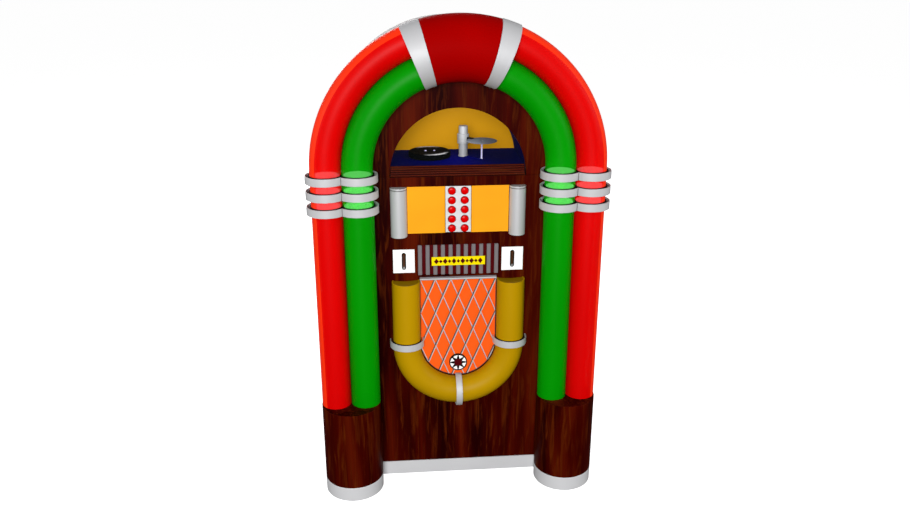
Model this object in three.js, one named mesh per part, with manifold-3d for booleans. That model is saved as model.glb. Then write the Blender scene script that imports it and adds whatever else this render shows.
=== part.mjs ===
// A bubble-tube jukebox: an arched wooden cabinet with red and green light tubes, a gold speaker tube,
// a ten-button selector, two coin slots and a record changer behind an arched window.
// Millimetres, +Z up, the front looks along -Y. The origin is on the floor, under the middle of the body.
import * as THREE from "three";
import { mergeVertices } from "three/addons/utils/BufferGeometryUtils.js";
import Module from "manifold-3d";

const wasm = await Module();
wasm.setup();

// ---- Driving dimensions ----

const gap = 0.4; // between pieces that touch on the real thing
const panelThickness = 18; // all cabinet boards
const cabinetDepth = 630; // front of the crown to the back of the door
const springHeight = 1077.5; // centre height of the big arch
const archRadius = 349.4; // from that centre to the middle of the pair of tubes
const shellHalfWidth = 408; // cabinet body, outside
const faceHalfWidth = 428; // front boards, outside

const tubeRadius = 46.2; // light tubes, outside
const tubeWall = 4;
const tubeStandClear = 5.2; // between the tubes and the boards

const pedestalMargin = 1.5; // round the pair of tubes
const pedestalHeight = 312.7;
const pedestalWall = 20;
const trimHeight = 48.3; // silver skirting

const seamDrop = 36.7; // joint between the two front boards, below the arch's centre
const windowRadius = 208;
const glassThickness = 3;
const chamberDepth = 232; // from the boards' back to the yellow backdrop
const chamberWall = 4;
const sillHeight = 30.5;
const sillSteps = 6;
const sillStepDepth = 2.6;
const deckThickness = 10;

const claspBand = 14.5; // width of the rings round the light tubes
const claspHeight = 23.5;
const claspPitch = 46.9;
const claspDrop = 9.8; // top ring, below the arch's centre

const crownWall = 2.2; // over the pair of tubes
const crownAngle = 15.3; // half the crown, from straight up, in degrees
const bandAngle = 22.9; // outer edge of the silver bands
const bandProud = 1.6;

const buttonRadius = 11;
const buttonMargin = 8.7; // round each button's centre, sideways
const buttonSpace = 7.9; // between two buttons of a column
const buttonEdge = 3.5; // between the outer buttons and the plate's ends
const buttonHeight = 7; // above its plate
const buttonClearance = 0.5;
const buttonFlange = 2;
const buttonRowCount = 5;
const titleWidth = 117.2; // each side of the button plate
const titleDrop = 30.3; // title sheet, below the joint between the boards
const titleThickness = 6;
const columnRadius = 25.4;
const columnMargin = 1; // beside the titles
const columnLowExtra = 7; // how far the columns reach below the titles
const columnHighExtra = 0.5;

const louvreDrop = 38.3; // below the titles
const louvreHeight = 98.5;
const slatCount = 11;
const slatPitch = 24;
const slatWidth = 12.5;
const slatProud = 3;
const louvreMargin = 1.75; // beside the outer slats
const signHalfWidth = 84;
const signRise = 31.7; // above the louvre's foot
const signHeight = 28.2;
const signThickness = 3;
const coinMargin = 8.7; // beside the louvre
const coinWidth = 67.4;
const coinRise = 9.7; // above the louvre's foot
const coinHeight = 76.6;
const coinPlateThickness = 3;
const coinSlotWidth = 7;
const coinSlotLength = 50;

const goldRadius = 44.5;
const goldWall = 3.5;
const goldBend = 166; // bend radius, also half the distance between the legs
const goldLeg = 218.9; // straight part of each leg
const goldDrop = 15.5; // its ends, below the louvre's foot
const goldStandOff = 12; // its axis in front of the boards
const goldRingBand = 9.8;
const goldRingHeight = 22;
const goldRingRise = 20.7; // ring tops, above the bend's centre
const goldBandWidth = 20;

const grilleDrop = 6.7; // below the louvre's foot
const grilleRecess = 5;
const clothThickness = 8;
const latticePitch = 47.6;
const latticeRise = 54.5; // height of half a diamond
const latticeWidth = 3.2;
const latticeThickness = 3;
const railHeight = 5;
const rosetteRadius = 29;
const rosetteRise = 48.3; // its centre, above the grille's foot
const rosetteThickness = 9;

const speakerRadius = 98;
const speakerRise = 70; // its centre, above the bend's centre
const speakerDepth = 92;

// The record changer is placed from the middle of the window and the back of the boards.
const platterX = -79;
const platterSetback = 127;
const platterRadius = 67;
const platterHeight = 15.7;
const recordRadius = 64;
const recordThickness = 1.6;
const spindleRadius = 3;
const shaftRadius = 5;
const shaftClearance = 0.8;
const pillarX = 28;
const pillarSetback = 126.5;
const pillarRadius = 14.2;
const pillarHeight = 96.5;
const collarWall = 4;
const heldDiscX = 81.5;
const heldDiscSetback = 76;
const heldDiscRadius = 48;
const heldDiscLift = 57.5; // above the deck
const spindlePostHeight = 49;

const amplifierSetback = 176.6; // its middle, before the cabinet's back edge

const hingePinRadius = 1.6;
const hingeKnuckleRadius = 4.5;
const hingeLowZ = 160;
const hingeDrop = 117.5; // top of the hinge, below the arch's centre
const hingeKnuckles = 5;
const doorLift = 5; // door's foot above the floor

// ---- Sizes that follow ----

const tubePitch = 2 * (tubeRadius + gap);
const outerTubeX = archRadius + tubePitch / 2;
const innerTubeX = archRadius - tubePitch / 2;
const pairRadius = tubePitch / 2 + tubeRadius;
const tubeStandOff = tubeRadius + tubeStandClear;
const pedestalRadius = pairRadius + pedestalMargin;
const crownRadius = pairRadius + crownWall;
const claspOuter = tubeRadius + claspBand;
const claspTop = springHeight - claspDrop;
const backY = cabinetDepth / 2;
const tubeY = -cabinetDepth / 2 + crownRadius + bandProud;
const panelY = tubeY + tubeStandOff; // face of the front boards
const boardBackY = panelY + panelThickness;
const shellFrontY = boardBackY + gap;
const shellBackY = backY - panelThickness - gap;

const seamHeight = springHeight - seamDrop;
const chamberRadius = windowRadius + 2;
const chamberBackY = boardBackY + chamberDepth;
const deckTopZ = seamHeight + sillHeight - 1;

const buttonPlateHalfWidth = 2 * (buttonRadius + buttonMargin);
const buttonPitch = 2 * buttonRadius + buttonSpace;
const titleHalfWidth = buttonPlateHalfWidth + titleWidth;
const titleHighZ = seamHeight - titleDrop;
const titleLowZ = titleHighZ - (buttonRowCount - 1) * buttonPitch - 2 * (buttonRadius + buttonEdge) - 0.4;
const columnX = titleHalfWidth + columnMargin + columnRadius;

const louvreHighZ = titleLowZ - louvreDrop;
const louvreLowZ = louvreHighZ - louvreHeight;
const louvreHalfWidth = ((slatCount - 1) * slatPitch + slatWidth) / 2 + louvreMargin;
const signLowZ = louvreLowZ + signRise;
const coinX = louvreHalfWidth + coinMargin + coinWidth / 2;
const coinLowZ = louvreLowZ + coinRise;

const goldY = panelY - goldStandOff;
const goldTopZ = louvreLowZ - goldDrop;
const goldCentreZ = goldTopZ - goldLeg;
const goldRingRadius = goldRadius + goldRingBand;
const goldRingTopZ = goldCentreZ + goldRingRise;
const grilleTopZ = louvreLowZ - grilleDrop;
const grilleHalfWidth = goldBend - Math.sqrt(goldRadius ** 2 - goldStandOff ** 2);
const grilleOpening = grilleHalfWidth - 1; // hole in the board, inside the gold tube
const rosetteZ = goldCentreZ - grilleHalfWidth + rosetteRise;
const clothFrontY = panelY + grilleRecess;
const speakerZ = goldCentreZ + speakerRise;

const platterY = boardBackY + platterSetback;
const pillarY = boardBackY + pillarSetback;
const heldDiscY = boardBackY + heldDiscSetback;
const collarRadius = pillarRadius + gap + collarWall;
const hingeLength = springHeight - hingeDrop - hingeLowZ;

const archSteps = 22; // facets along each arch
const goldSteps = 24;

// ---- Materials ----

const finish = (colour, roughness, metalness = 0) =>
  new THREE.MeshStandardMaterial({ color: colour, roughness, metalness });
const wood = finish("#3d0d05", 0.4);
const darkWood = finish("#5a0c08", 0.45);
const silver = finish("#c9c9cb", 0.35, 0.8);
const redTube = finish("#dc0000", 0.25);
const greenTube = finish("#009600", 0.25);
const crownRed = finish("#9c0000", 0.3);
const gold = finish("#bf9200", 0.3);
const cloth = finish("#ff6018", 0.9);
const amber = finish("#ffa81c", 0.5);
const white = finish("#f2f2f2", 0.5);
const buttonRed = finish("#ee0000", 0.3);
const slatGrey = finish("#7c7678", 0.5, 0.5);
const signYellow = finish("#ffe81a", 0.4);
const navy = finish("#00003a", 0.6);
const black = finish("#0a0a0a", 0.3);
const glass = finish("#dfe8ea", 0.05);
const steel = finish("#a0a0a4", 0.4, 0.8);

// ---- Solids ----

// A closed geometry as a manifold-3d solid.
function solid(geometry) {
  const bare = geometry.index ? geometry.toNonIndexed() : geometry.clone();
  bare.deleteAttribute("normal");
  bare.deleteAttribute("uv");
  const merged = mergeVertices(bare, 1e-3);
  return new wasm.Manifold(
    new wasm.Mesh({
      numProp: 3,
      vertProperties: merged.attributes.position.array,
      triVerts: new Uint32Array(merged.index.array),
    }),
  );
}

// A manifold-3d solid as a geometry.
function geometryOf(made) {
  const mesh = made.getMesh();
  const points = new Float32Array(mesh.numVert * 3);
  for (let i = 0; i < mesh.numVert; i++) {
    points.set(mesh.vertProperties.subarray(i * mesh.numProp, i * mesh.numProp + 3), i * 3);
  }
  return new THREE.BufferGeometry()
    .setAttribute("position", new THREE.BufferAttribute(points, 3))
    .setIndex(new THREE.BufferAttribute(mesh.triVerts, 1));
}

function join(...geometries) {
  return geometryOf(geometries.map(solid).reduce((a, b) => a.add(b)));
}

function cut(body, ...tools) {
  return geometryOf(tools.map(solid).reduce((a, b) => a.subtract(b), solid(body)));
}

function overlap(a, b) {
  return geometryOf(solid(a).intersect(solid(b)));
}

// A box between two corners.
function block([x0, y0, z0], [x1, y1, z1]) {
  const made = new THREE.BoxGeometry(x1 - x0, y1 - y0, z1 - z0);
  return made.translate((x0 + x1) / 2, (y0 + y1) / 2, (z0 + z1) / 2);
}

// An upright cylinder from z0 to z1.
function upright(radius, z0, z1, x = 0, y = 0, sides = 20) {
  const made = new THREE.CylinderGeometry(radius, radius, z1 - z0, sides);
  return made.rotateX(Math.PI / 2).translate(x, y, (z0 + z1) / 2);
}

// A cylinder along Y from y0 to y1.
function across(radius, y0, y1, x = 0, z = 0, sides = 20) {
  const made = new THREE.CylinderGeometry(radius, radius, y1 - y0, sides);
  return made.translate(x, (y0 + y1) / 2, z);
}

// A flat outline, drawn in X and Z, given thickness from its front face back.
function board(outline, frontY, thickness, curveSegments = 12) {
  const made = new THREE.ExtrudeGeometry(outline, {
    depth: thickness,
    bevelEnabled: false,
    curveSegments,
  });
  return made.rotateX(Math.PI / 2).translate(0, frontY + thickness, 0);
}

// A doorway outline: straight sides up to the arch's centre, then a half circle.
function archOutline(radius, bottomZ, centreZ) {
  const outline = new THREE.Shape();
  outline.moveTo(-radius, bottomZ);
  outline.lineTo(radius, bottomZ);
  outline.lineTo(radius, centreZ);
  outline.absarc(0, centreZ, radius, 0, Math.PI, false);
  outline.closePath();
  return outline;
}

// A U outline: a half circle at the bottom and a straight top.
function uOutline(radius, topZ, centreZ) {
  const outline = new THREE.Shape();
  outline.moveTo(radius, topZ);
  outline.lineTo(-radius, topZ);
  outline.lineTo(-radius, centreZ);
  outline.absarc(0, centreZ, radius, Math.PI, 2 * Math.PI, false);
  outline.closePath();
  return outline;
}

// A round-ended upright slot, drawn about its own centre.
function slotOutline(width, length, x, z) {
  const r = width / 2;
  const straight = length / 2 - r;
  const outline = new THREE.Shape();
  outline.moveTo(x + r, z - straight);
  outline.lineTo(x + r, z + straight);
  outline.absarc(x, z + straight, r, 0, Math.PI, false);
  outline.lineTo(x - r, z - straight);
  outline.absarc(x, z - straight, r, Math.PI, 2 * Math.PI, false);
  return outline;
}

// A line in the XZ plane: a straight lead, an arc and a straight tail. Angles in degrees from +X.
class ArcLine extends THREE.Curve {
  constructor(radius, fromAngle, toAngle, lead = 0) {
    super();
    this.radius = radius;
    this.from = THREE.MathUtils.degToRad(fromAngle);
    this.to = THREE.MathUtils.degToRad(toAngle);
    this.lead = lead;
  }
  getPoint(t, target = new THREE.Vector3()) {
    const arc = Math.abs(this.to - this.from) * this.radius;
    const along = t * (arc + 2 * this.lead) - this.lead;
    const within = Math.min(Math.max(along, 0), arc);
    const turn = Math.sign(this.to - this.from);
    const angle = this.from + (turn * within) / this.radius;
    const past = along - within;
    return target.set(
      this.radius * Math.cos(angle) - turn * past * Math.sin(angle),
      0,
      this.radius * Math.sin(angle) + turn * past * Math.cos(angle),
    );
  }
}

// A round bar swept along an ArcLine.
function roundBar(line, radius, steps, sides = 16) {
  const section = new THREE.Shape();
  section.absarc(0, 0, radius, 0, 2 * Math.PI, false);
  return new THREE.ExtrudeGeometry(section, {
    steps,
    extrudePath: line,
    curveSegments: sides / 2,
    bevelEnabled: false,
  });
}

// A pipe: the same with a smaller bar taken out from end to end.
function pipe(radius, fromAngle, toAngle, lead, tubeR, wall, steps) {
  const outside = roundBar(new ArcLine(radius, fromAngle, toAngle, lead), tubeR, steps);
  const inside = roundBar(new ArcLine(radius, fromAngle, toAngle, lead + 2), tubeR - wall, steps, 8);
  return cut(outside, inside);
}

// Everything in front of the plane y = limit.
function frontOf(limit) {
  return block([-1000, -1000, -1000], [1000, limit, 3000]);
}

// ---- Assembly ----

const jukebox = new THREE.Group();

function place(name, geometry, material, parent = jukebox, position = [0, 0, 0]) {
  const mesh = new THREE.Mesh(geometry, material);
  mesh.name = name;
  mesh.position.set(...position);
  parent.add(mesh);
  return mesh;
}

function groupAt(x, y, z) {
  const group = new THREE.Group();
  group.position.set(x, y, z);
  jukebox.add(group);
  return group;
}

const sides = [
  ["left", -1],
  ["right", 1],
];

// Cabinet body: two sides and the arched roof bent from one board, with the floor and the chamber's shelf
// rails glued in.
function addCabinet() {
  const depth = shellBackY - shellFrontY;
  const inner = shellHalfWidth - panelThickness;
  const outside = board(archOutline(shellHalfWidth, 0, springHeight), shellFrontY, depth, 18);
  const hollow = board(archOutline(inner, -10, springHeight), shellFrontY - 10, depth + 20, 18);
  const floorBoard = block(
    [-inner - 2, shellFrontY, trimHeight],
    [inner + 2, shellBackY, trimHeight + panelThickness],
  );
  place("cabinet_shell", join(cut(outside, hollow), floorBoard), wood);
}

// Lower front board with holes for the titles, the louvre, the coins and the speaker.
function addFrontPanel() {
  const low = trimHeight + gap;
  const tool = [panelY - 5, panelY + panelThickness + 5];
  const face = block([-faceHalfWidth, panelY, low], [faceHalfWidth, boardBackY, seamHeight - gap]);
  const titles = block(
    [-titleHalfWidth - gap, tool[0], titleLowZ - gap],
    [titleHalfWidth + gap, tool[1], titleHighZ + gap],
  );
  const louvre = block(
    [-louvreHalfWidth - gap, tool[0], louvreLowZ - gap],
    [louvreHalfWidth + gap, tool[1], louvreHighZ + gap],
  );
  const speaker = board(uOutline(grilleOpening, grilleTopZ, goldCentreZ), tool[0], tool[1] - tool[0]);
  const coinZ = coinLowZ + coinHeight / 2;
  const coins = sides.map(([, side]) =>
    block([side * coinX - 9, tool[0], coinZ - 30], [side * coinX + 9, tool[1], coinZ + 30]),
  );
  place("front_panel", cut(face, titles, louvre, speaker, ...coins), wood);
}

// Upper front board with the arched window.
function addArchPanel() {
  const face = board(archOutline(faceHalfWidth, seamHeight, springHeight), panelY, panelThickness, 20);
  const window = across(windowRadius, panelY - 5, boardBackY + 5, 0, seamHeight, 48);
  place("arch_panel", cut(face, window), wood);
}

// Silver skirting: the kick plate with a half-round plinth under each pedestal.
function addBaseTrim() {
  const plate = block([-archRadius, panelY - 2, 0], [archRadius, boardBackY, trimHeight]);
  const plinths = sides.map(([, side]) =>
    overlap(upright(pedestalRadius, 0, trimHeight, side * archRadius, tubeY, 32), frontOf(panelY + 2)),
  );
  place("base_trim", join(plate, ...plinths), silver);
}

// One wooden pedestal: a half-round drum with a top board, open at the back and underneath.
function addPedestal(name, side) {
  const low = trimHeight + gap;
  const drum = upright(pedestalRadius, low, pedestalHeight, 0, 0, 32);
  const hollow = upright(pedestalRadius - pedestalWall, low - 5, pedestalHeight - pedestalWall, 0, 0, 24);
  const shell = overlap(cut(drum, hollow), frontOf(tubeStandOff - gap));
  place(name, shell, wood, jukebox, [side * archRadius, tubeY, 0]);
}

// One upright light tube, from its pedestal to the top ring.
function addPilaster(name, x, material) {
  const low = pedestalHeight + gap;
  const high = claspTop - gap;
  const tube = cut(
    upright(tubeRadius, low, high, 0, 0, 20),
    upright(tubeRadius - tubeWall, low - 5, high + 5, 0, 0, 16),
  );
  place(name, tube, material, jukebox, [x, tubeY, 0]);
}

// One light arch, standing on the pilasters of both sides and running on under the crown.
function addArch(name, radius, material) {
  const lead = springHeight - claspTop - gap;
  place(name, pipe(radius, 0, 180, lead, tubeRadius, tubeWall, archSteps), material, jukebox, [
    0,
    tubeY,
    springHeight,
  ]);
}

// Three double rings round a red and a green tube, tied by a strip on the board behind.
function addClasp(name, side) {
  const centres = [-tubePitch / 2, tubePitch / 2];
  const rings = [0, 1, 2].map((k) => {
    const high = claspTop - k * claspPitch;
    const low = high - claspHeight;
    const outer = join(...centres.map((x) => upright(claspOuter, low, high, x, 0, 20)));
    return overlap(outer, frontOf(tubeStandOff - gap));
  });
  const lowest = claspTop - 2 * claspPitch - claspHeight;
  const strip = block([-14, tubeStandOff - 4.5, lowest], [14, tubeStandOff - gap, claspTop]);
  const bores = centres.map((x) => upright(tubeRadius + gap, lowest - 5, claspTop + 5, x, 0, 20));
  place(name, cut(join(...rings, strip), ...bores), silver, jukebox, [side * archRadius, tubeY, 0]);
}

// The two light arches as cutting tools, a little thicker than they are.
function archBores() {
  const radii = [outerTubeX, innerTubeX];
  const lead = springHeight - claspTop - gap;
  return radii.map((radius) => roundBar(new ArcLine(radius, 0, 180, lead), tubeRadius + gap, archSteps));
}

// A saddle over both arches between two angles from straight up, cut flat at the boards.
function saddle(radius, fromAngle, toAngle, steps) {
  const line = new ArcLine(archRadius, 90 - fromAngle, 90 - toAngle);
  const front = frontOf(tubeStandOff - gap);
  return cut(overlap(roundBar(line, radius, steps, 28), front), ...archBores());
}

function addCrown() {
  const group = groupAt(0, tubeY, springHeight);
  const clearAngle = THREE.MathUtils.radToDeg(gap / archRadius);
  place("crown", saddle(crownRadius, -crownAngle, crownAngle, 4), crownRed, group);
  for (const [name, side] of sides) {
    const from = side * (crownAngle + clearAngle);
    const to = side * bandAngle;
    const band = saddle(crownRadius + bandProud, Math.min(from, to), Math.max(from, to), 2);
    place("crown_band_" + name, band, silver, group);
  }
}

// The gold tube, bent to a U, closed at its two ends and cut flat against the board.
function addGoldTube() {
  const lead = goldTopZ - goldCentreZ;
  const outside = roundBar(new ArcLine(goldBend, 180, 360, lead), goldRadius, goldSteps, 18);
  const inside = roundBar(
    new ArcLine(goldBend, 180, 360, lead - goldWall),
    goldRadius - goldWall,
    goldSteps,
    8,
  );
  const front = frontOf(goldStandOff - gap);
  place("gold_tube", overlap(cut(outside, inside), front), gold, jukebox, [0, goldY, goldCentreZ]);
}

function addGoldRings() {
  const front = frontOf(goldStandOff - gap);
  for (const [name, side] of sides) {
    const ring = cut(
      upright(goldRingRadius, -goldRingHeight, 0, 0, 0, 28),
      upright(goldRadius + 3 * gap, -goldRingHeight - 5, 5, 0, 0, 24),
    );
    // The bend's own surface is taken out below its centre height.
    const bend = roundBar(new ArcLine(goldBend, 180, 360, 40), goldRadius + 3 * gap, goldSteps, 18);
    bend.translate(-side * goldBend, 0, goldCentreZ - goldRingTopZ);
    const position = [side * goldBend, goldY, goldRingTopZ];
    place("gold_ring_" + name, overlap(cut(ring, bend), front), silver, jukebox, position);
  }
  const half = THREE.MathUtils.radToDeg(goldBandWidth / 2 / goldBend);
  const bar = roundBar(new ArcLine(goldBend, 270 - half, 270 + half), goldRingRadius, 2, 24);
  const bore = roundBar(new ArcLine(goldBend, 180, 360), goldRadius + 3 * gap, goldSteps, 18);
  const band = overlap(cut(bar, bore), front);
  place("gold_centre_band", band, silver, jukebox, [0, goldY, goldCentreZ]);
}

// Orange cloth on a board that fills the speaker hole.
function addGrilleCloth() {
  const outline = uOutline(grilleOpening - gap, grilleTopZ - gap, goldCentreZ);
  const sound = across(speakerRadius - 14, panelY - 5, boardBackY + 5, 0, speakerZ, 24);
  const backing = board(outline, clothFrontY + 2, clothThickness - 2);
  const skin = board(outline, clothFrontY, 2 + gap);
  place("grille_cloth", join(cut(backing, sound), skin), cloth);
}

// The diamond lattice with its U border and top rail, in one casting in front of the cloth.
function addLattice() {
  const backPlane = clothFrontY - gap;
  const frontPlane = backPlane - latticeThickness;
  const outline = uOutline(grilleOpening - gap, grilleTopZ - gap, goldCentreZ);
  const field = board(outline, frontPlane, latticeThickness);
  const inset = board(uOutline(grilleOpening - 3.5, grilleTopZ - 3, goldCentreZ), frontPlane - 5, 15);
  const height = grilleTopZ - goldCentreZ + grilleHalfWidth;
  const bars = [];
  const lean = Math.atan2(latticePitch / 2, latticeRise);
  const length = height / Math.cos(lean) + 40;
  const reach = 2 * grilleHalfWidth + height * Math.tan(lean);
  const count = Math.ceil(reach / latticePitch / 2);
  for (const turn of [-1, 1]) {
    for (let k = -count; k <= count; k++) {
      const bar = new THREE.BoxGeometry(latticeWidth, latticeThickness, length);
      bar.translate(0, 0, -length / 2 + 20);
      bar.rotateY(turn * lean);
      bar.translate((k + 0.5) * latticePitch, frontPlane + latticeThickness / 2, grilleTopZ);
      bars.push(bar);
    }
  }
  const net = overlap(join(...bars), field);
  const rail = block(
    [-grilleOpening + gap, panelY - 4, grilleTopZ - railHeight],
    [grilleOpening - gap, backPlane, grilleTopZ - gap],
  );
  const seat = across(rosetteRadius + gap, frontPlane - 20, backPlane + 1, 0, rosetteZ, 24);
  place("grille_lattice", cut(join(net, cut(field, inset), rail), seat), silver);
}

function addRosette() {
  const back = clothFrontY - gap;
  const disc = across(rosetteRadius, back - rosetteThickness, back, 0, 0, 24);
  const dish = across(rosetteRadius - 3, back - rosetteThickness - 5, back - rosetteThickness + 2, 0, 0, 24);
  const hub = across(rosetteRadius / 2, back - rosetteThickness, back - 1, 0, 0, 24);
  place("rosette", join(cut(disc, dish), hub), white, jukebox, [0, 0, rosetteZ]);
}

// Loudspeaker behind the cloth: basket rim, cone and magnet in one turned shape.
function addSpeaker() {
  const rim = speakerRadius;
  const profile = [
    [0, 30],
    [16, 32],
    [rim - 18, 4],
    [rim - 14, 0],
    [rim, 0],
    [rim, 6],
    [rim - 8, 9],
    [48, 52],
    [48, speakerDepth],
    [0, speakerDepth],
  ].map(([r, depth]) => new THREE.Vector2(r, depth));
  const turned = new THREE.LatheGeometry(profile, 20);
  const facing = turned.translate(0, boardBackY + gap, speakerZ);
  place("speaker", facing, black);
}

// Backlit title sheet with the button plate set into its middle.
function addSelector() {
  const sheetFront = panelY + 1.5;
  const plateFront = panelY - 0.5;
  const plateBack = panelY + 7;
  const buttonRows = Array.from(
    { length: buttonRowCount },
    (_, k) => titleHighZ - buttonRadius - buttonEdge - k * buttonPitch,
  );
  const sheet = block(
    [-titleHalfWidth, sheetFront, titleLowZ],
    [titleHalfWidth, sheetFront + titleThickness, titleHighZ],
  );
  const seat = block(
    [-buttonPlateHalfWidth - gap, sheetFront - 5, titleLowZ + 2],
    [buttonPlateHalfWidth + gap, sheetFront + titleThickness + 5, titleHighZ + 5],
  );
  place("title_panel", cut(sheet, seat), amber);
  const plate = block(
    [-buttonPlateHalfWidth, plateFront, titleLowZ + 2 + gap],
    [buttonPlateHalfWidth, plateBack, titleHighZ],
  );
  const holes = [];
  for (const z of buttonRows) {
    for (const x of [-buttonPlateHalfWidth / 2, buttonPlateHalfWidth / 2]) {
      holes.push(across(buttonRadius + buttonClearance, plateFront - 5, plateBack + 5, x, z, 14));
    }
  }
  place("button_plate", cut(plate, ...holes), silver);
  buttonRows.forEach((z, row) => {
    for (const [name, side] of sides) {
      const behind = plateBack - plateFront + gap;
      const cap = across(buttonRadius, -buttonHeight, behind + 1, 0, 0, 14);
      const flange = across(buttonRadius + buttonFlange, behind, behind + 2, 0, 0, 14);
      const button = join(cap, flange);
      const position = [(side * buttonPlateHalfWidth) / 2, plateFront, z];
      place("button_" + name + "_" + (row + 1), button, buttonRed, jukebox, position);
    }
  });
}

// A silver half-round column beside the titles.
function addColumn(name, side) {
  const round = upright(columnRadius, titleLowZ - columnLowExtra, titleHighZ + columnHighExtra, 0, 0, 32);
  const column = overlap(round, frontOf(-gap));
  place(name, column, silver, jukebox, [side * columnX, panelY, 0]);
}

// Dark backing board with grey slats in one casting, filling their hole in the front board.
function addLouvre() {
  const backing = block(
    [-louvreHalfWidth, panelY + 4, louvreLowZ],
    [louvreHalfWidth, panelY + 10, louvreHighZ],
  );
  place("louvre_backing", backing, darkWood);
  const first = (-slatPitch * (slatCount - 1)) / 2;
  const slatBack = panelY + 4 - gap;
  const slats = Array.from({ length: slatCount }, (_, k) => {
    const x = first + k * slatPitch;
    return block([x - slatWidth / 2, panelY - slatProud, louvreLowZ], [x + slatWidth / 2, slatBack, louvreHighZ]);
  });
  const rails = [louvreLowZ, louvreHighZ - 6].map((z) =>
    block([first - slatWidth / 2, slatBack - 2, z], [-first + slatWidth / 2, slatBack, z + 6]),
  );
  place("louvre_slats", join(...slats, ...rails), slatGrey);
}

function addSign() {
  const back = panelY - slatProud - gap;
  const plate = block(
    [-signHalfWidth, back - signThickness, signLowZ],
    [signHalfWidth, back, signLowZ + signHeight],
  );
  place("sign_plate", plate, signYellow);
}

// A white plate with a coin slot.
function addCoinPlate(name, side) {
  const back = panelY - gap;
  const plate = block(
    [-coinWidth / 2, back - coinPlateThickness, 0],
    [coinWidth / 2, back, coinHeight],
  );
  const slot = board(
    slotOutline(coinSlotWidth, coinSlotLength, 0, coinHeight / 2),
    back - coinPlateThickness - 5,
    coinPlateThickness + 10,
    8,
  );
  place(name, cut(plate, slot), white, jukebox, [side * coinX, 0, coinLowZ]);
}

// Coin mechanism behind the louvre, with an entry chute under each coin slot.
function addCoinMechanism() {
  const front = boardBackY + gap;
  const coinZ = coinLowZ + coinHeight / 2;
  const box = block([-coinX - 22, front, louvreLowZ + 5], [coinX + 22, front + 80, louvreHighZ - 5]);
  const chutes = sides.map(([, side]) =>
    block([side * coinX - 6, front - 5, coinZ - 28], [side * coinX + 6, front + 40, coinZ + 28]),
  );
  place("coin_mechanism", cut(box, ...chutes), steel);
}

// Stepped wooden sill across the foot of the window.
function addSill() {
  const halfWidth = Math.sqrt(windowRadius ** 2 - sillHeight ** 2) - 1;
  const stepHeight = sillHeight / sillSteps;
  const steps = Array.from({ length: sillSteps }, (_, k) =>
    block(
      [-halfWidth, panelY + 3 + glassThickness + k * sillStepDepth, seamHeight + 0.1 + k * stepHeight - (k ? 1 : 0)],
      [halfWidth, boardBackY + 4, seamHeight + 0.1 + (k + 1) * stepHeight],
    ),
  );
  place("chamber_sill", join(...steps), darkWood);
}

// Deck of the record chamber, with the holes for the turntable shaft.
function addDeck() {
  const low = deckTopZ - deckThickness;
  const halfWidth = Math.sqrt(chamberRadius ** 2 - (deckTopZ - seamHeight) ** 2) - 1.5;
  const deck = block([-halfWidth, boardBackY + 4 + gap, low], [halfWidth, chamberBackY - gap, deckTopZ]);
  const hole = upright(shaftRadius + shaftClearance, low - 5, deckTopZ + 5, platterX, platterY, 20);
  place("chamber_deck", cut(deck, hole), navy);
}

// Half-barrel lining of the chamber with the backdrop at its end.
function addLiner() {
  const front = shellFrontY;
  const outer = chamberRadius + chamberWall;
  const barrel = cut(
    across(outer, front, chamberBackY + chamberWall, 0, seamHeight, 36),
    across(chamberRadius, front - 5, chamberBackY, 0, seamHeight, 36),
    block([-500, -500, 0], [500, 500, seamHeight + gap]),
  );
  place("chamber_liner", barrel, navy);
}

// The pane fills the window's front edge.
function addGlass() {
  const pane = overlap(
    across(windowRadius - gap, panelY + 2, panelY + 2 + glassThickness, 0, seamHeight, 48),
    block([-500, -500, seamHeight + gap], [500, 500, 3000]),
  );
  place("window_glass", pane, glass);
}

// Turntable with its record, standing in the deck over a flat motor.
function addTurntable() {
  const group = groupAt(platterX, platterY, deckTopZ);
  const top = 2 + platterHeight;
  const drum = upright(platterRadius, 2, top, 0, 0, 28);
  const pin = upright(spindleRadius, top - 1, top + 6, 0, 0, 12);
  const shaft = upright(shaftRadius, -60, 3, 0, 0, 20);
  place("platter", join(drum, pin, shaft), black, group);
  const record = cut(
    upright(recordRadius, 0, recordThickness, 0, 0, 28),
    upright(spindleRadius + gap, -5, 10, 0, 0, 12),
  );
  place("record", record, black, group, [0, 0, top + gap]);
  const motorTop = -deckThickness - gap;
  const motor = cut(
    join(upright(40, motorTop - 36, motorTop, 0, 0, 20), upright(58, motorTop - 4, motorTop, 0, 0, 20)),
    upright(shaftRadius + shaftClearance, -100, 10, 0, 0, 20),
  );
  place("turntable_motor", motor, steel, group);
}

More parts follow.
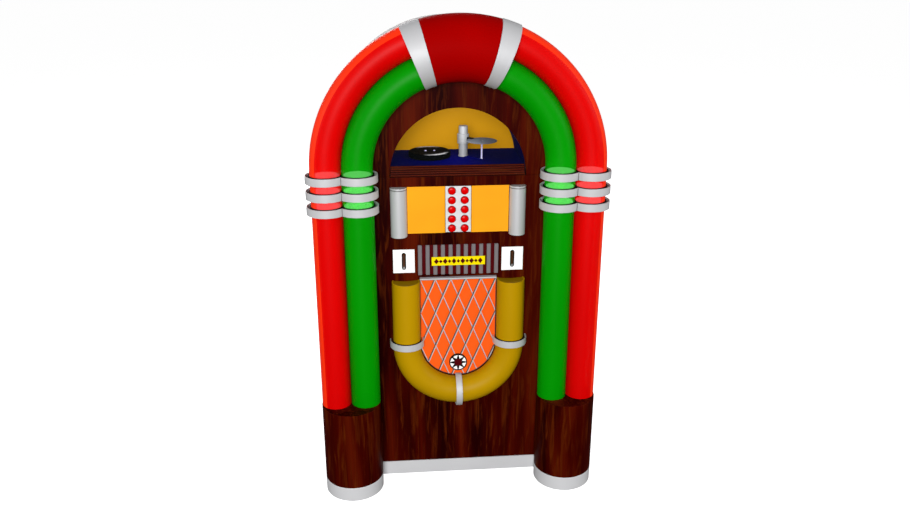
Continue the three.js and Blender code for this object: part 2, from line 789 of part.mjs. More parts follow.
// Record changer: a fixed pillar with the waiting spindle, a lifting collar and a swinging arm.
function addChanger() {
  const group = groupAt(pillarX, pillarY, deckTopZ + gap);
  const reachX = heldDiscX - pillarX;
  const reachY = heldDiscY - pillarY;
  const reach = Math.hypot(reachX, reachY);
  const aim = Math.atan2(reachY, reachX);
  const foot = block([0, -9, 0], [reach, 9, 2.5]).rotateZ(aim);
  const pillar = join(
    upright(pillarRadius, 0, pillarHeight, 0, 0, 28),
    upright(pillarRadius + 6, 0, 4, 0, 0, 28),
    foot,
    upright(spindleRadius, 0, spindlePostHeight, reachX, reachY, 16),
  );
  place("transfer_pillar", pillar, silver, group);

  const discLow = heldDiscLift;
  const collar = (z0, z1) =>
    cut(upright(collarRadius, z0, z1, 0, 0, 28), upright(pillarRadius + gap, z0 - 5, z1 + 5, 0, 0, 28));
  place("lift_collar", collar(discLow - 16, discLow - 10 - gap), steel, group);

  const edge = reach - heldDiscRadius;
  const arm = block([collarRadius - 3, -4, -4], [edge + 1, 4, 6]);
  const jaws = block([edge - 6, -7, -3], [edge + 12, 7, 5]);
  const mouth = block([edge - gap, -20, -gap], [edge + 40, 20, recordThickness + gap]);
  const claw = cut(join(arm, jaws), mouth).rotateZ(aim).translate(0, 0, discLow);
  place("gripper_arm", join(collar(discLow - 10, discLow + 14), claw), steel, group);

  const disc = cut(
    upright(heldDiscRadius, 0, recordThickness, 0, 0, 28),
    upright(spindleRadius + 1.2, -5, 10, 0, 0, 16),
  );
  place("held_record", disc, silver, group, [reachX, reachY, discLow]);
}

// Valve amplifier on the cabinet floor: chassis, transformers and valves.
function addAmplifier() {
  const group = groupAt(0, shellBackY - amplifierSetback, trimHeight + panelThickness + gap);
  const chassis = block([-150, -80, 0], [150, 80, 60]);
  const transformers = [-110, -50].map((x) => block([x - 24, -30, 59], [x + 24, 30, 120]));
  const valves = [20, 65, 110].map((x) => upright(16, 59, 130, x, 0, 16));
  place("amplifier", join(chassis, ...transformers, ...valves), steel, group);
}

// A fixed leaf on the cabinet's side with every other knuckle and the pin.
function hingeAxis() {
  return [-shellHalfWidth - gap - hingeKnuckleRadius, shellBackY + gap / 2];
}

function hingeKnuckle(k) {
  const [x, y] = hingeAxis();
  const step = hingeLength / hingeKnuckles;
  return upright(
    hingeKnuckleRadius,
    hingeLowZ + k * step + gap,
    hingeLowZ + (k + 1) * step - gap,
    x,
    y,
    16,
  );
}

function addHinge() {
  const [x, y] = hingeAxis();
  const step = hingeLength / hingeKnuckles;
  const tabs = [0, 2, 4].flatMap((k) => [
    hingeKnuckle(k),
    block(
      [x, y - 40, hingeLowZ + k * step + gap],
      [x + hingeKnuckleRadius, y - 1, hingeLowZ + (k + 1) * step - gap],
    ),
  ]);
  const leaf = block(
    [x + hingeKnuckleRadius - 2, y - 40, hingeLowZ + gap],
    [x + hingeKnuckleRadius, y - hingeKnuckleRadius - 2, hingeLowZ + hingeLength - gap],
  );
  const pin = upright(hingePinRadius, hingeLowZ, hingeLowZ + hingeLength, x, y, 12);
  place("door_hinge", join(...tabs, leaf, pin), steel);
}

// Arched back door with vent slots, its own hinge leaf and a hole for the mains inlet.
const inlet = { x: 250, z: 130, width: 48, height: 34 };
function addDoor() {
  const [x, y] = hingeAxis();
  const leafBoard = board(
    archOutline(shellHalfWidth, doorLift, springHeight),
    shellBackY + gap,
    panelThickness,
    18,
  );
  const vents = [];
  for (let z = 640; z < 820; z += 34) {
    for (const x of [-118, 18]) vents.push(block([x, shellBackY - 5, z], [x + 100, backY + 5, z + 12]));
  }
  const window = block(
    [inlet.x - inlet.width / 2 - 2, shellBackY - 5, inlet.z - inlet.height / 2 - 2],
    [inlet.x + inlet.width / 2 + 2, backY + 5, inlet.z + inlet.height / 2 + 2],
  );
  const step = hingeLength / hingeKnuckles;
  const tabs = [1, 3].flatMap((k) => [
    hingeKnuckle(k),
    block(
      [x, y + 1, hingeLowZ + k * step + gap],
      [x + hingeKnuckleRadius + gap + 1, backY - 2, hingeLowZ + (k + 1) * step - gap],
    ),
  ]);
  const bore = upright(hingePinRadius + gap, 0, 2000, x, y, 12);
  place("back_door", cut(join(cut(leafBoard, ...vents, window), ...tabs), bore), darkWood);
}

// Mains inlet: a socket block that stands on the cabinet floor board and looks out of the door's hole.
function addInlet() {
  const floorTop = trimHeight + panelThickness + gap;
  const body = block(
    [inlet.x - inlet.width / 2, shellBackY - 60, inlet.z - inlet.height / 2],
    [inlet.x + inlet.width / 2, backY - 4, inlet.z + inlet.height / 2],
  );
  const stand = block([inlet.x - 20, shellBackY - 60, floorTop], [inlet.x + 20, shellBackY - 30, inlet.z]);
  const socket = block(
    [inlet.x - 13, backY - 22, inlet.z - 9],
    [inlet.x + 13, backY + 5, inlet.z + 9],
  );
  place("mains_inlet", cut(join(body, stand), socket), black);
}

addCabinet();
addFrontPanel();
addArchPanel();
addBaseTrim();
for (const [name, side] of sides) {
  addPedestal("pedestal_" + name, side);
  addPilaster("red_pilaster_" + name, side * outerTubeX, redTube);
  addPilaster("green_pilaster_" + name, side * innerTubeX, greenTube);
  addClasp("clasp_" + name, side);
  addColumn("column_" + name, side);
  addCoinPlate("coin_plate_" + name, side);
}
addArch("red_arch", outerTubeX, redTube);
addArch("green_arch", innerTubeX, greenTube);
addCrown();
addGoldTube();
addGoldRings();
addGrilleCloth();
addLattice();
addRosette();
addSpeaker();
addSelector();
addLouvre();
addSign();
addCoinMechanism();
addSill();
addDeck();
addLiner();
addGlass();
addTurntable();
addChanger();
addAmplifier();
addHinge();
addDoor();
addInlet();

export default jukebox;
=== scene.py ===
"""A bubble-tube jukebox: lit acrylic tubes round an arched mahogany cabinet with a record changer behind its window."""

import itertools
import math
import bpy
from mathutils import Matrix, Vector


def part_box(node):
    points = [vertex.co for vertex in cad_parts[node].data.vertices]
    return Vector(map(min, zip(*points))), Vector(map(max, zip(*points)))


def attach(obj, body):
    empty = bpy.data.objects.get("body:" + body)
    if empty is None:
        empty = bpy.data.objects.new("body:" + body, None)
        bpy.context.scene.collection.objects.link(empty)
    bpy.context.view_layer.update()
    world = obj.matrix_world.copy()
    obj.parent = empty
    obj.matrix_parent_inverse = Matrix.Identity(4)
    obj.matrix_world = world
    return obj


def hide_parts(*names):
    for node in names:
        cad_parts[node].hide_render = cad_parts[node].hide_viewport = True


bl_info = {
    "name": "Bubble-tube Jukebox",
    "version": (1, 0, 0),
    "blender": (4, 5, 0),
    "location": "View3D > Sidebar > Jukebox",
    "description": "Builds the finished pieces of an arched jukebox round its packed frame",
    "category": "Object",
}

import bmesh
import bpy
from bpy.props import FloatProperty, FloatVectorProperty, PointerProperty
from mathutils import Matrix, Vector

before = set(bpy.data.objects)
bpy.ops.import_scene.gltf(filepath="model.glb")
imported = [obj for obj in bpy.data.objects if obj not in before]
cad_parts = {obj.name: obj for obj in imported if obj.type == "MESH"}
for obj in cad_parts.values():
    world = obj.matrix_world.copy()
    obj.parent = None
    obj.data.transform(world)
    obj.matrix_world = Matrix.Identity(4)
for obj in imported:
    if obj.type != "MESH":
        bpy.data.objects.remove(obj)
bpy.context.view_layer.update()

# Lengths below are in millimetres, which MM brings to metres.
MM = 0.001
SIDES = (("left", -1), ("right", 1))
BUTTONS = [f"button_{side}_{row}" for side, _ in SIDES for row in range(1, 6)]
BUTTON_RADIUS = 11
CABINET_BOARD = 18
CLASP_BAND = 23.5
CLASP_BANDS = 3


# ---------------------------------------------------------------- colours and nodes


def linear(code):
    """A linear colour from an sRGB hex value."""
    parts = [int(code[i : i + 2], 16) / 255 for i in (1, 3, 5)]
    return tuple(c / 12.92 if c <= 0.04045 else ((c + 0.055) / 1.055) ** 2.4 for c in parts)


def opaque(base):
    return (*base[:3], 1.0)


def paint(code):
    return opaque(linear(code))


def feed(tree, node, inputs):
    """Links each input of a node to an output, or gives it a value."""
    for name, value in inputs.items():
        if isinstance(value, bpy.types.NodeSocket):
            tree.links.new(value, node.inputs[name])
        else:
            node.inputs[name].default_value = value


def add_node(tree, kind, inputs=(), **settings):
    """Adds a node, sets its properties, and feeds its inputs."""
    node = tree.nodes.new(kind)
    for name, value in settings.items():
        setattr(node, name, value)
    feed(tree, node, dict(inputs))
    return node


def new_material(name, base, roughness=0.5, metallic=0.0, **sockets):
    """A material with its Principled shader set. Gives back the tree and the shader, to add a pattern to."""
    material = bpy.data.materials.new(name)
    material.use_nodes = True
    material.diffuse_color = opaque(base)
    tree = material.node_tree
    shader = tree.nodes["Principled BSDF"]
    if "Emission_Strength" in sockets:
        sockets["Emission_Color"] = opaque(base)
    feed(tree, shader, {"Base Color": opaque(base), "Roughness": roughness, "Metallic": metallic})
    feed(tree, shader, {socket.replace("_", " "): value for socket, value in sockets.items()})
    return tree, shader


def ramp(tree, source, *stops):
    """A colour ramp over a value, with stops of (place, colour)."""
    node = add_node(tree, "ShaderNodeValToRGB", {"Fac": source})
    elements = node.color_ramp.elements
    while len(elements) < len(stops):
        elements.new(0.5)
    for element, (place, shade) in zip(elements, stops):
        element.position, element.color = place, shade
    return node.outputs["Color"]


def stretched(tree, scale, source="Object", location=(0, 0, 0)):
    """Coordinates scaled along each axis, in patterns per metre."""
    place = add_node(tree, "ShaderNodeTexCoord").outputs[source]
    inputs = {"Vector": place, "Scale": scale, "Location": location}
    return add_node(tree, "ShaderNodeMapping", inputs).outputs["Vector"]


def noise(tree, scale, detail=2.0, source="Object", roughness=0.5, distortion=0.0):
    """A noise pattern, scaled alike along every axis or along each on its own."""
    if not isinstance(scale, tuple):
        scale = (scale, scale, scale)
    inputs = {"Vector": stretched(tree, scale, source), "Scale": 1.0, "Detail": detail}
    inputs |= {"Roughness": roughness, "Distortion": distortion}
    return add_node(tree, "ShaderNodeTexNoise", inputs).outputs["Fac"]


def arithmetic(tree, operation, *values):
    return add_node(tree, "ShaderNodeMath", enumerate(values), operation=operation).outputs[0]


def map_range(tree, value, from_low, from_high, to_low, to_high):
    inputs = {"Value": value, "From Min": from_low, "From Max": from_high}
    inputs |= {"To Min": to_low, "To Max": to_high}
    return add_node(tree, "ShaderNodeMapRange", inputs).outputs["Result"]


def mix(tree, factor, a, b, blend="MIX"):
    inputs = {"Factor": factor, "A": a, "B": b}
    return add_node(tree, "ShaderNodeMix", inputs, data_type="RGBA", blend_type=blend).outputs["Result"]


def two_tone(tree, shader, pattern, base, share, low, high):
    """Shades the base colour with a pattern, down to a share of itself."""
    dark = opaque([c * share for c in base[:3]])
    feed(tree, shader, {"Base Color": ramp(tree, pattern, (low, dark), (high, opaque(base)))})


def bump(tree, shader, height, distance, strength):
    inputs = {"Height": height, "Distance": distance, "Strength": strength}
    feed(tree, shader, {"Normal": add_node(tree, "ShaderNodeBump", inputs).outputs["Normal"]})


# ---------------------------------------------------------------- materials


def mahogany(name, source="Object", along="Z", dark="#220000", middle="#3e0400", light="#581402"):
    """Crown-cut mahogany veneer, stained red: leaves about 90 mm wide, brown flecks about 100 mm long,
    3 mm grain and fine pores."""
    tree, shader = new_material(name, linear(middle), 0.45, IOR=1.09)

    def figure(across, length, detail, distortion):
        scale = (across, across, length) if along == "Z" else (length, across, across)
        return noise(tree, scale, detail, source, 0.6, distortion)

    leaf, fleck, grain = figure(11, 0.9, 2, 0.4), figure(60, 5, 4, 1.2), figure(320, 7, 6, 0.3)
    tone = ramp(tree, leaf, (0.36, paint(dark)), (0.52, paint(middle)), (0.66, paint(light)))
    spots = ramp(tree, fleck, (0.50, (0, 0, 0, 1)), (0.72, (0.85, 0.85, 0.85, 1)))
    fibres = ramp(tree, grain, (0.3, (0.62, 0.58, 0.56, 1)), (0.7, (1.12, 1.12, 1.12, 1)))
    flecked = mix(tree, spots, tone, paint("#5e2404"))
    gloss = map_range(tree, grain, 0, 1, 0.5, 0.32)
    feed(tree, shader, {"Base Color": mix(tree, 0.75, flecked, fibres, "MULTIPLY"), "Roughness": gloss})
    bump(tree, shader, grain, 0.0003, 0.35)


def cast_acrylic(name, base, alpha, glow, roughness=0.44, ior=1.2):
    """Cast acrylic tube lit from inside: a soft gloss outside, clear enough to see through its walls,
    with long faint casting waves."""
    tree, shader = new_material(name, base, roughness, IOR=ior, Alpha=alpha, Emission_Strength=glow)
    waves = noise(tree, (9, 9, 2))
    two_tone(tree, shader, waves, base, 0.92, 0.35, 0.62)
    bump(tree, shader, waves, 0.0006, 0.2)


def satin_nickel(name, base, roughness=0.6, grain=(40, 40, 1500), metallic=0.22):
    """Nickel-plated sheet under a clear lacquer: pale and satin, with faint polishing lines along the band."""
    tree, shader = new_material(name, base, roughness, metallic)
    lines = noise(tree, grain, 3.0)
    both = arithmetic(tree, "ADD", lines, noise(tree, 22, 4.0))
    feed(tree, shader, {"Roughness": map_range(tree, both, 0.6, 1.4, roughness - 0.08, roughness + 0.1)})
    bump(tree, shader, lines, 0.00008, 0.3)


def enamel(name, base, roughness=0.3, speckle=0.06, ior=1.2, glow=0.0):
    """Stoved enamel: smooth, with a faint orange peel of 2 mm and a little uneven tone."""
    tree, shader = new_material(name, base, roughness, IOR=ior, Emission_Strength=glow)
    two_tone(tree, shader, noise(tree, 16, 3.0), base, 1 - speckle, 0.35, 0.6)
    bump(tree, shader, noise(tree, 450), 0.00012, 0.25)


def speaker_cloth(name, base, glow):
    """Plain-woven speaker cloth with a painted glow, as if lit a little from behind. Its threads are drawn 2.4 mm
    apart, coarser than real, so that they show."""
    tree, shader = new_material(name, base, 0.85, Sheen_Weight=0.06, IOR=1.15, Emission_Strength=glow)
    place = stretched(tree, (1, 1, 1))
    per_metre = 2 * math.pi / 0.0024 / 20
    inputs = {"Vector": place, "Scale": per_metre, "Distortion": 0.6, "Detail Scale": 2.0}
    warp, weft = (add_node(tree, "ShaderNodeTexWave", inputs, bands_direction=way) for way in "XZ")
    weave = arithmetic(tree, "MULTIPLY", warp.outputs["Fac"], weft.outputs["Fac"])
    two_tone(tree, shader, weave, base, 0.72, 0.05, 0.6)
    bump(tree, shader, weave, 0.0004, 0.5)


def glowing_sheet(name, base, glow):
    """Opal styrene sheet that glows by the given strength: matt, brighter than its surroundings, slightly uneven."""
    tree, shader = new_material(name, base, 0.55, IOR=1.15, Emission_Strength=glow)
    two_tone(tree, shader, noise(tree, 9, 1.0), base, 0.93, 0.35, 0.65)
    bump(tree, shader, noise(tree, 900), 0.0001, 0.2)


def pressed_vinyl(name, base, node, painted_sheen=None):
    """Pressed vinyl: grooves round the centre of a CAD node, drawn 1.6 mm apart so that they show. Given a sheen
    colour, it paints a highlight into the base colour in two opposite wedges outside the label: a painted sheen."""
    tree, shader = new_material(name, base, 0.42, Anisotropic=0.6, IOR=1.02)
    x, y, _ = centre_of(node)
    place = stretched(tree, (1, 1, 1), location=(-x * MM, -y * MM, 0))
    flat = add_node(tree, "ShaderNodeVectorMath", {0: place, 1: (1, 1, 0)}, operation="MULTIPLY").outputs["Vector"]
    distance = add_node(tree, "ShaderNodeVectorMath", {0: flat}, operation="LENGTH").outputs["Value"]
    groove = arithmetic(tree, "SINE", arithmetic(tree, "MULTIPLY", distance, 2 * math.pi / 0.0016))
    bump(tree, shader, map_range(tree, groove, -1, 1, 0, 1), 0.00025, 0.5)
    # The sheen is painted into the base colour: a painted highlight.
    if painted_sheen:
        turn = add_node(tree, "ShaderNodeTexGradient", {"Vector": place}, gradient_type="RADIAL").outputs["Fac"]
        dull, bright = opaque(base), paint(painted_sheen)
        shades = (dull, bright, bright, dull, dull, bright, bright, dull)
        painted_wedges = ramp(tree, turn, *zip((0.19, 0.29, 0.36, 0.44, 0.64, 0.73, 0.81, 0.88), shades))
        outside = map_range(tree, distance, 0.050, 0.058, 0, 1)
        feed(tree, shader, {"Base Color": mix(tree, outside, dull, painted_wedges)})


def cast_metal(name, base, roughness, metallic=0.6):
    """Cast and machined metal with a fine sand texture of under a millimetre."""
    tree, shader = new_material(name, base, roughness, metallic)
    patch = noise(tree, 30, 4.0)
    feed(tree, shader, {"Roughness": map_range(tree, patch, 0, 1, roughness - 0.1, roughness + 0.12)})
    bump(tree, shader, noise(tree, 1300), 0.00012, 0.35)


def float_glass(name):
    """A thin pane of clear glass, which shows as gloss only."""
    tree, shader = new_material(name, linear("#28302e"), 0.03, IOR=1.5, Alpha=0.05)
    bump(tree, shader, noise(tree, 6), 0.0004, 0.1)


# ---------------------------------------------------------------- CAD nodes, sizes and pieces


def corners(node):
    """The lowest and highest corner of a CAD node."""
    low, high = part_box(node)
    return low / MM, high / MM


def centre_of(node):
    return [(a + b) / 2 for a, b in zip(*corners(node))]


def radius_of(node):
    """Half the width of a CAD node."""
    low, high = corners(node)
    return (high.x - low.x) / 2


def spring_line():
    """The height where the arch springs from the cabinet's sides."""
    high = corners("arch_panel")[1]
    return high.z - high.x


def size(name):
    """A size from the panel."""
    return getattr(bpy.context.scene.jukebox_sizes, name) / MM


def colour(name):
    return tuple(getattr(bpy.context.scene.jukebox_colours, name))


def part(name, bm, material, node=None, body="cabinet", smooth=35):
    """Turns a bmesh into a finished piece that rides on a body and stands for its CAD node."""
    bmesh.ops.remove_doubles(bm, verts=bm.verts, dist=0.003)
    bmesh.ops.recalc_face_normals(bm, faces=bm.faces)
    bmesh.ops.scale(bm, vec=(MM, MM, MM), verts=bm.verts)
    mesh = bpy.data.meshes.new(name)
    bm.to_mesh(mesh)
    bm.free()
    for face in mesh.polygons:
        face.use_smooth = True
    mesh.set_sharp_from_angle(angle=math.radians(smooth))
    piece = bpy.data.objects.new(name, mesh)
    bpy.context.scene.collection.objects.link(piece)
    mesh.materials.append(bpy.data.materials[material])
    weighted = piece.modifiers.new("Weighted normals", "WEIGHTED_NORMAL")
    weighted.keep_sharp = True
    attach(piece, body)
    if node:
        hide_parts(node)
    return piece


# ---------------------------------------------------------------- shapes


def chain(bm, points, close=False):
    """Vertices joined by edges in order."""
    verts = [bm.verts.new(p) for p in points]
    pairs = list(zip(verts, verts[1:])) + ([(verts[-1], verts[0])] if close else [])
    return verts, [bm.edges.new(p) for p in pairs]


def only(kind, geometry):
    """The elements of one kind in what a bmesh operator gives back."""
    return [g for g in geometry if isinstance(g, getattr(bmesh.types, kind))]


def disc(radius, low, high):
    """The profile of a disc."""
    return [(0, low), (radius, low), (radius, high), (0, high)]


def ring(inner, outer, low, high):
    """The profile of a ring, closed on itself."""
    return [(inner, low), (outer, low), (outer, high), (inner, high), (inner, low)]


def revolve(bm, profile, centre, axis="Z", steps=64):
    """Spins a profile of (radius, height) points round an axis through centre."""
    centre = Vector(centre)
    turn = Vector({"X": (1, 0, 0), "Y": (0, 1, 0), "Z": (0, 0, 1)}[axis])
    out = Vector((0, 0, 1)) if axis == "X" else Vector((1, 0, 0))
    before = set(bm.verts)
    verts, edges = chain(bm, [centre + out * r + turn * h for r, h in profile])
    bmesh.ops.spin(
        bm,
        geom=verts + edges,
        cent=centre,
        axis=turn,
        angle=2 * math.pi,
        steps=steps,
        use_merge=True,
        use_duplicate=False,
    )
    bmesh.ops.remove_doubles(bm, verts=[v for v in bm.verts if v not in before], dist=0.002)
    if profile[0] != profile[-1]:
        # A profile that starts or ends off the axis is closed there.
        open_edges = [e for v in bm.verts if v not in before for e in v.link_edges if e.is_boundary]
        bmesh.ops.holes_fill(bm, edges=open_edges, sides=0)
    return bm


def rounded(profile, radius, steps=3):
    """A profile with its inner corners rounded."""
    made = [profile[0]]
    for before, corner, after in zip(profile, profile[1:], profile[2:]):
        c = Vector(corner)
        a, b = Vector(before) - c, Vector(after) - c
        reach = min(radius, a.length * 0.49, b.length * 0.49)
        start, end = c + a.normalized() * reach, c + b.normalized() * reach
        for t in (k / steps for k in range(steps + 1)):
            made.append(tuple(start * (1 - t) ** 2 + c * (2 * t * (1 - t)) + end * t**2))
    return made + [profile[-1]]


def bevel_edges(bm, edges, width, segments, clamp=False):
    return bmesh.ops.bevel(
        bm,
        geom=edges,
        offset=width,
        offset_type="OFFSET",
        segments=segments,
        profile=0.5,
        affect="EDGES",
        material=-1,
        clamp_overlap=clamp,
    )["verts"]


def round_edges(bm, width):
    """Rounds every edge where two faces turn by more than 50 degrees."""
    sharp = math.radians(50)
    bevel_edges(bm, [e for e in bm.edges if e.is_manifold and e.calc_face_angle(0) > sharp], width, 2, True)


def block(bm, low, high, bevel, segments=2):
    """A box between two corners with its edges rounded."""
    made = bmesh.ops.create_cube(bm, size=1.0)["verts"]
    low, high = Vector(low), Vector(high)
    bmesh.ops.scale(bm, vec=high - low, verts=made)
    bmesh.ops.translate(bm, vec=(low + high) / 2, verts=made)
    return bevel_edges(bm, list({e for v in made for e in v.link_edges}), bevel, segments)


def bead(bm, radius, shape, place):
    """A ball pressed to a shape."""
    made = bmesh.ops.create_uvsphere(bm, u_segments=20, v_segments=12, radius=radius)["verts"]
    bmesh.ops.scale(bm, vec=shape, verts=made)
    bmesh.ops.translate(bm, vec=place, verts=made)


def turned(bm, verts, angle, centre, axis="Y"):
    """Turns vertices about an axis through centre, in degrees."""
    bmesh.ops.rotate(bm, verts=verts, cent=centre, matrix=Matrix.Rotation(math.radians(angle), 3, axis))


def arc(radius, start, end, steps, centre=(0, 0)):
    """Points on an arc, with angles in degrees."""
    angles = [math.radians(start + (end - start) * k / steps) for k in range(steps + 1)]
    return [(centre[0] + radius * math.cos(a), centre[1] + radius * math.sin(a)) for a in angles]


def drawn_out(bm, geometry, distance):
    """Extrudes faces by a distance and closes the result."""
    out = bmesh.ops.extrude_face_region(bm, geom=geometry, use_keep_orig=True)["geom"]
    bmesh.ops.translate(bm, vec=distance, verts=only("BMVert", out))
    bmesh.ops.recalc_face_normals(bm, faces=bm.faces)


def board(outline, near, far, holes=(), bevel=0.0, along="Y", bm=None):
    """A flat board from its outline and holes, from near to far along an axis, with its edges rounded."""
    bm = bm or bmesh.new()
    axis = "XYZ".index(along)
    edges = []
    for loop in [outline, *holes]:
        edges += chain(bm, [(*p[:axis], near, *p[axis:]) for p in loop], close=True)[1]
    made = bmesh.ops.triangle_fill(bm, use_beauty=True, use_dissolve=False, edges=edges)["geom"]
    distance = [0, 0, 0]
    distance[axis] = far - near
    drawn_out(bm, only("BMFace", made), distance)
    if bevel:
        round_edges(bm, bevel)
    return bm


def keep_front(bm, y):
    """Cuts away what lies behind the plane at y, and closes the cut."""
    geometry = bm.verts[:] + bm.edges[:] + bm.faces[:]
    cut = bmesh.ops.bisect_plane(
        bm, geom=geometry, plane_co=(0, y, 0), plane_no=(0, 1, 0), clear_outer=True, dist=1e-4
    )["geom_cut"]
    bmesh.ops.holes_fill(bm, edges=[e for e in only("BMEdge", cut) if e.is_boundary], sides=0)
    return bm


def sweep(loops, centre, radius, start, end, steps, lead=0.0):
    """Sweeps closed section loops of (outward, along Y) points round centre, from start to end degrees
    from +X, with straight leads."""
    bm = bmesh.new()
    centre = Vector(centre)

    def tangent(angle):
        return Vector((-math.sin(math.radians(angle)), 0, math.cos(math.radians(angle))))

    def straight(edges, angle):
        """Draws a loop out by the lead, along the curve at an angle."""
        out = bmesh.ops.extrude_edge_only(bm, edges=edges)["geom"]
        verts = only("BMVert", out)
        bmesh.ops.translate(bm, vec=tangent(angle) * lead, verts=verts)
        return verts, only("BMEdge", out)

    first = Vector((math.cos(math.radians(start)), 0, math.sin(math.radians(start))))
    drop = tangent(start) * lead
    firsts, lasts = [], []
    for loop in loops:
        points = [centre + first * (radius + out) + Vector((0, y, 0)) - drop for out, y in loop]
        verts, edges = chain(bm, points, close=True)
        firsts += edges
        if lead:
            verts, edges = straight(edges, start)
            edges = [e for e in edges if all(v in set(verts) for v in e.verts)]
        out = bmesh.ops.spin(
            bm,
            geom=verts + edges,
            cent=centre,
            axis=(0, -1, 0),
            angle=math.radians(end - start),
            steps=steps,
            use_merge=False,
            use_duplicate=False,
        )["geom_last"]
        edges = only("BMEdge", out)
        if lead:
            edges = straight(edges, end)[1]
        lasts += [e for e in edges if e.is_boundary]
    for rim in (firsts, lasts):
        if len(loops) == 2:
            bmesh.ops.bridge_loops(bm, edges=rim)
        else:
            bmesh.ops.triangle_fill(bm, use_beauty=True, use_dissolve=False, edges=rim)
    bmesh.ops.recalc_face_normals(bm, faces=bm.faces)
    return bm


def channel_section(outer, inner, cut, steps):
    """A round channel of (outward, along Y) points, open at the back where it meets the board at cut."""
    a, b = math.degrees(math.asin(cut / outer)), math.degrees(math.asin(cut / inner))
    return arc(outer, 180 - a, 360 + a, steps) + arc(inner, 360 + b, 180 - b, steps)


def u_shape(radius, high, centre):
    """The outline of a U, flat on top."""
    return [(radius, high), (-radius, high)] + arc(radius, 180, 360, 48, (0, centre))


def rectangle(low_x, low_z, high_x, high_z):
    return [(low_x, low_z), (high_x, low_z), (high_x, high_z), (low_x, high_z)]


def front_of(node, gap=0):
    """The outline of a CAD node from the front, let out by a gap."""
    low, high = corners(node)
    return rectangle(low.x - gap, low.z - gap, high.x + gap, high.z + gap)


def rounded_slot(width, length, x, z):
    r, straight = width / 2, length / 2 - width / 2
    return arc(r, 0, 180, 12, (x, z + straight)) + arc(r, 180, 360, 12, (x, z - straight))


def wrap(bm, place):
    """Gives each corner of a face the UV that place makes of its point."""
    layer = bm.loops.layers.uv.new("UVMap")
    for face in bm.faces:
        for loop in face.loops:
            loop[layer].uv = place(loop.vert.co)


def lathe(
    name, profile, centre, material, slot, node=None, body="cabinet", axis="Z", steps=64, back=None, smooth=35
):
    """A turned piece, cut off behind the plane at back where one is given."""
    bm = revolve(bmesh.new(), profile, centre, axis, steps)
    if back is not None:
        keep_front(bm, back)
    return part(name, bm, material, node, body, smooth)


def box_piece(name, low, high, bevel, material, slot, node=None):
    bm = bmesh.new()
    block(bm, low, high, bevel)
    part(name, bm, material, node)


# ---------------------------------------------------------------- sizes and colours


def length(label, description, default):
    """A length in millimetres as a property in metres."""
    return FloatProperty(name=label, description=description, default=default * MM, unit="LENGTH", precision=4)


def tint(label, description, code):
    return FloatVectorProperty(
        name=label, description=description, default=linear(code), subtype="COLOR", min=0, max=1
    )


class JukeboxSizes(bpy.types.PropertyGroup):
    board_edge: length("Board edge", "Rounding of the front boards' edges", 2.5)
    tube_wall: length("Tube wall", "Wall of the light tubes", 4)
    clasp_wall: length("Clasp wall", "Sheet of the figure-eight clasps", 2.6)
    crown_wall: length("Crown wall", "Wall of the red crown", 2.2)
    gold_wall: length("Gold tube wall", "Wall of the gold tube", 3.5)
    gold_ring_wall: length("Ring wall", "Sheet of the rings on the gold tube", 2.6)
    strip_width: length("Lattice strip", "Width of a lattice strip", 3.2)
    strip_pitch: length("Lattice pitch", "Distance between lattice strips along the rail", 48.5)
    strip_rise: length("Lattice rise", "Height of half a diamond", 58)
    slat_edge: length("Slat edge", "Rounding of the louvre's slats", 1.6)
    button_dome: length("Button dome", "How far a button's face bulges", 1.6)
    ornament_width: length("Ornament width", "Width of the chain of diamonds on the sign", 138)


class JukeboxColours(bpy.types.PropertyGroup):
    red_tube: tint("Red tubes", "Outer light tubes", "#e40000")
    green_tube: tint("Green tubes", "Inner light tubes", "#00a000")
    crown: tint("Crown", "Moulding over the arch's top", "#a00000")
    gold: tint("Gold tube", "Bent tube round the grille", "#c79a00")
    cloth: tint("Grille cloth", "Cloth behind the lattice", "#ff6119")
    title: tint("Title sheets", "Lit sheets beside the buttons", "#ffa81c")
    button: tint("Buttons", "Selector buttons", "#dc0000")
    nickel: tint("Nickel", "Clasps, bands and columns", "#c6c6c8")
    sign: tint("Sign", "Plate on the louvre", "#ffe600")
    slat: tint("Slats", "Slats of the louvre", "#7c7678")
    deck: tint("Chamber", "Floor and lining of the record chamber", "#00005a")
    backdrop: tint("Backdrop", "Back wall of the record chamber", "#b88200")


# ---------------------------------------------------------------- operators


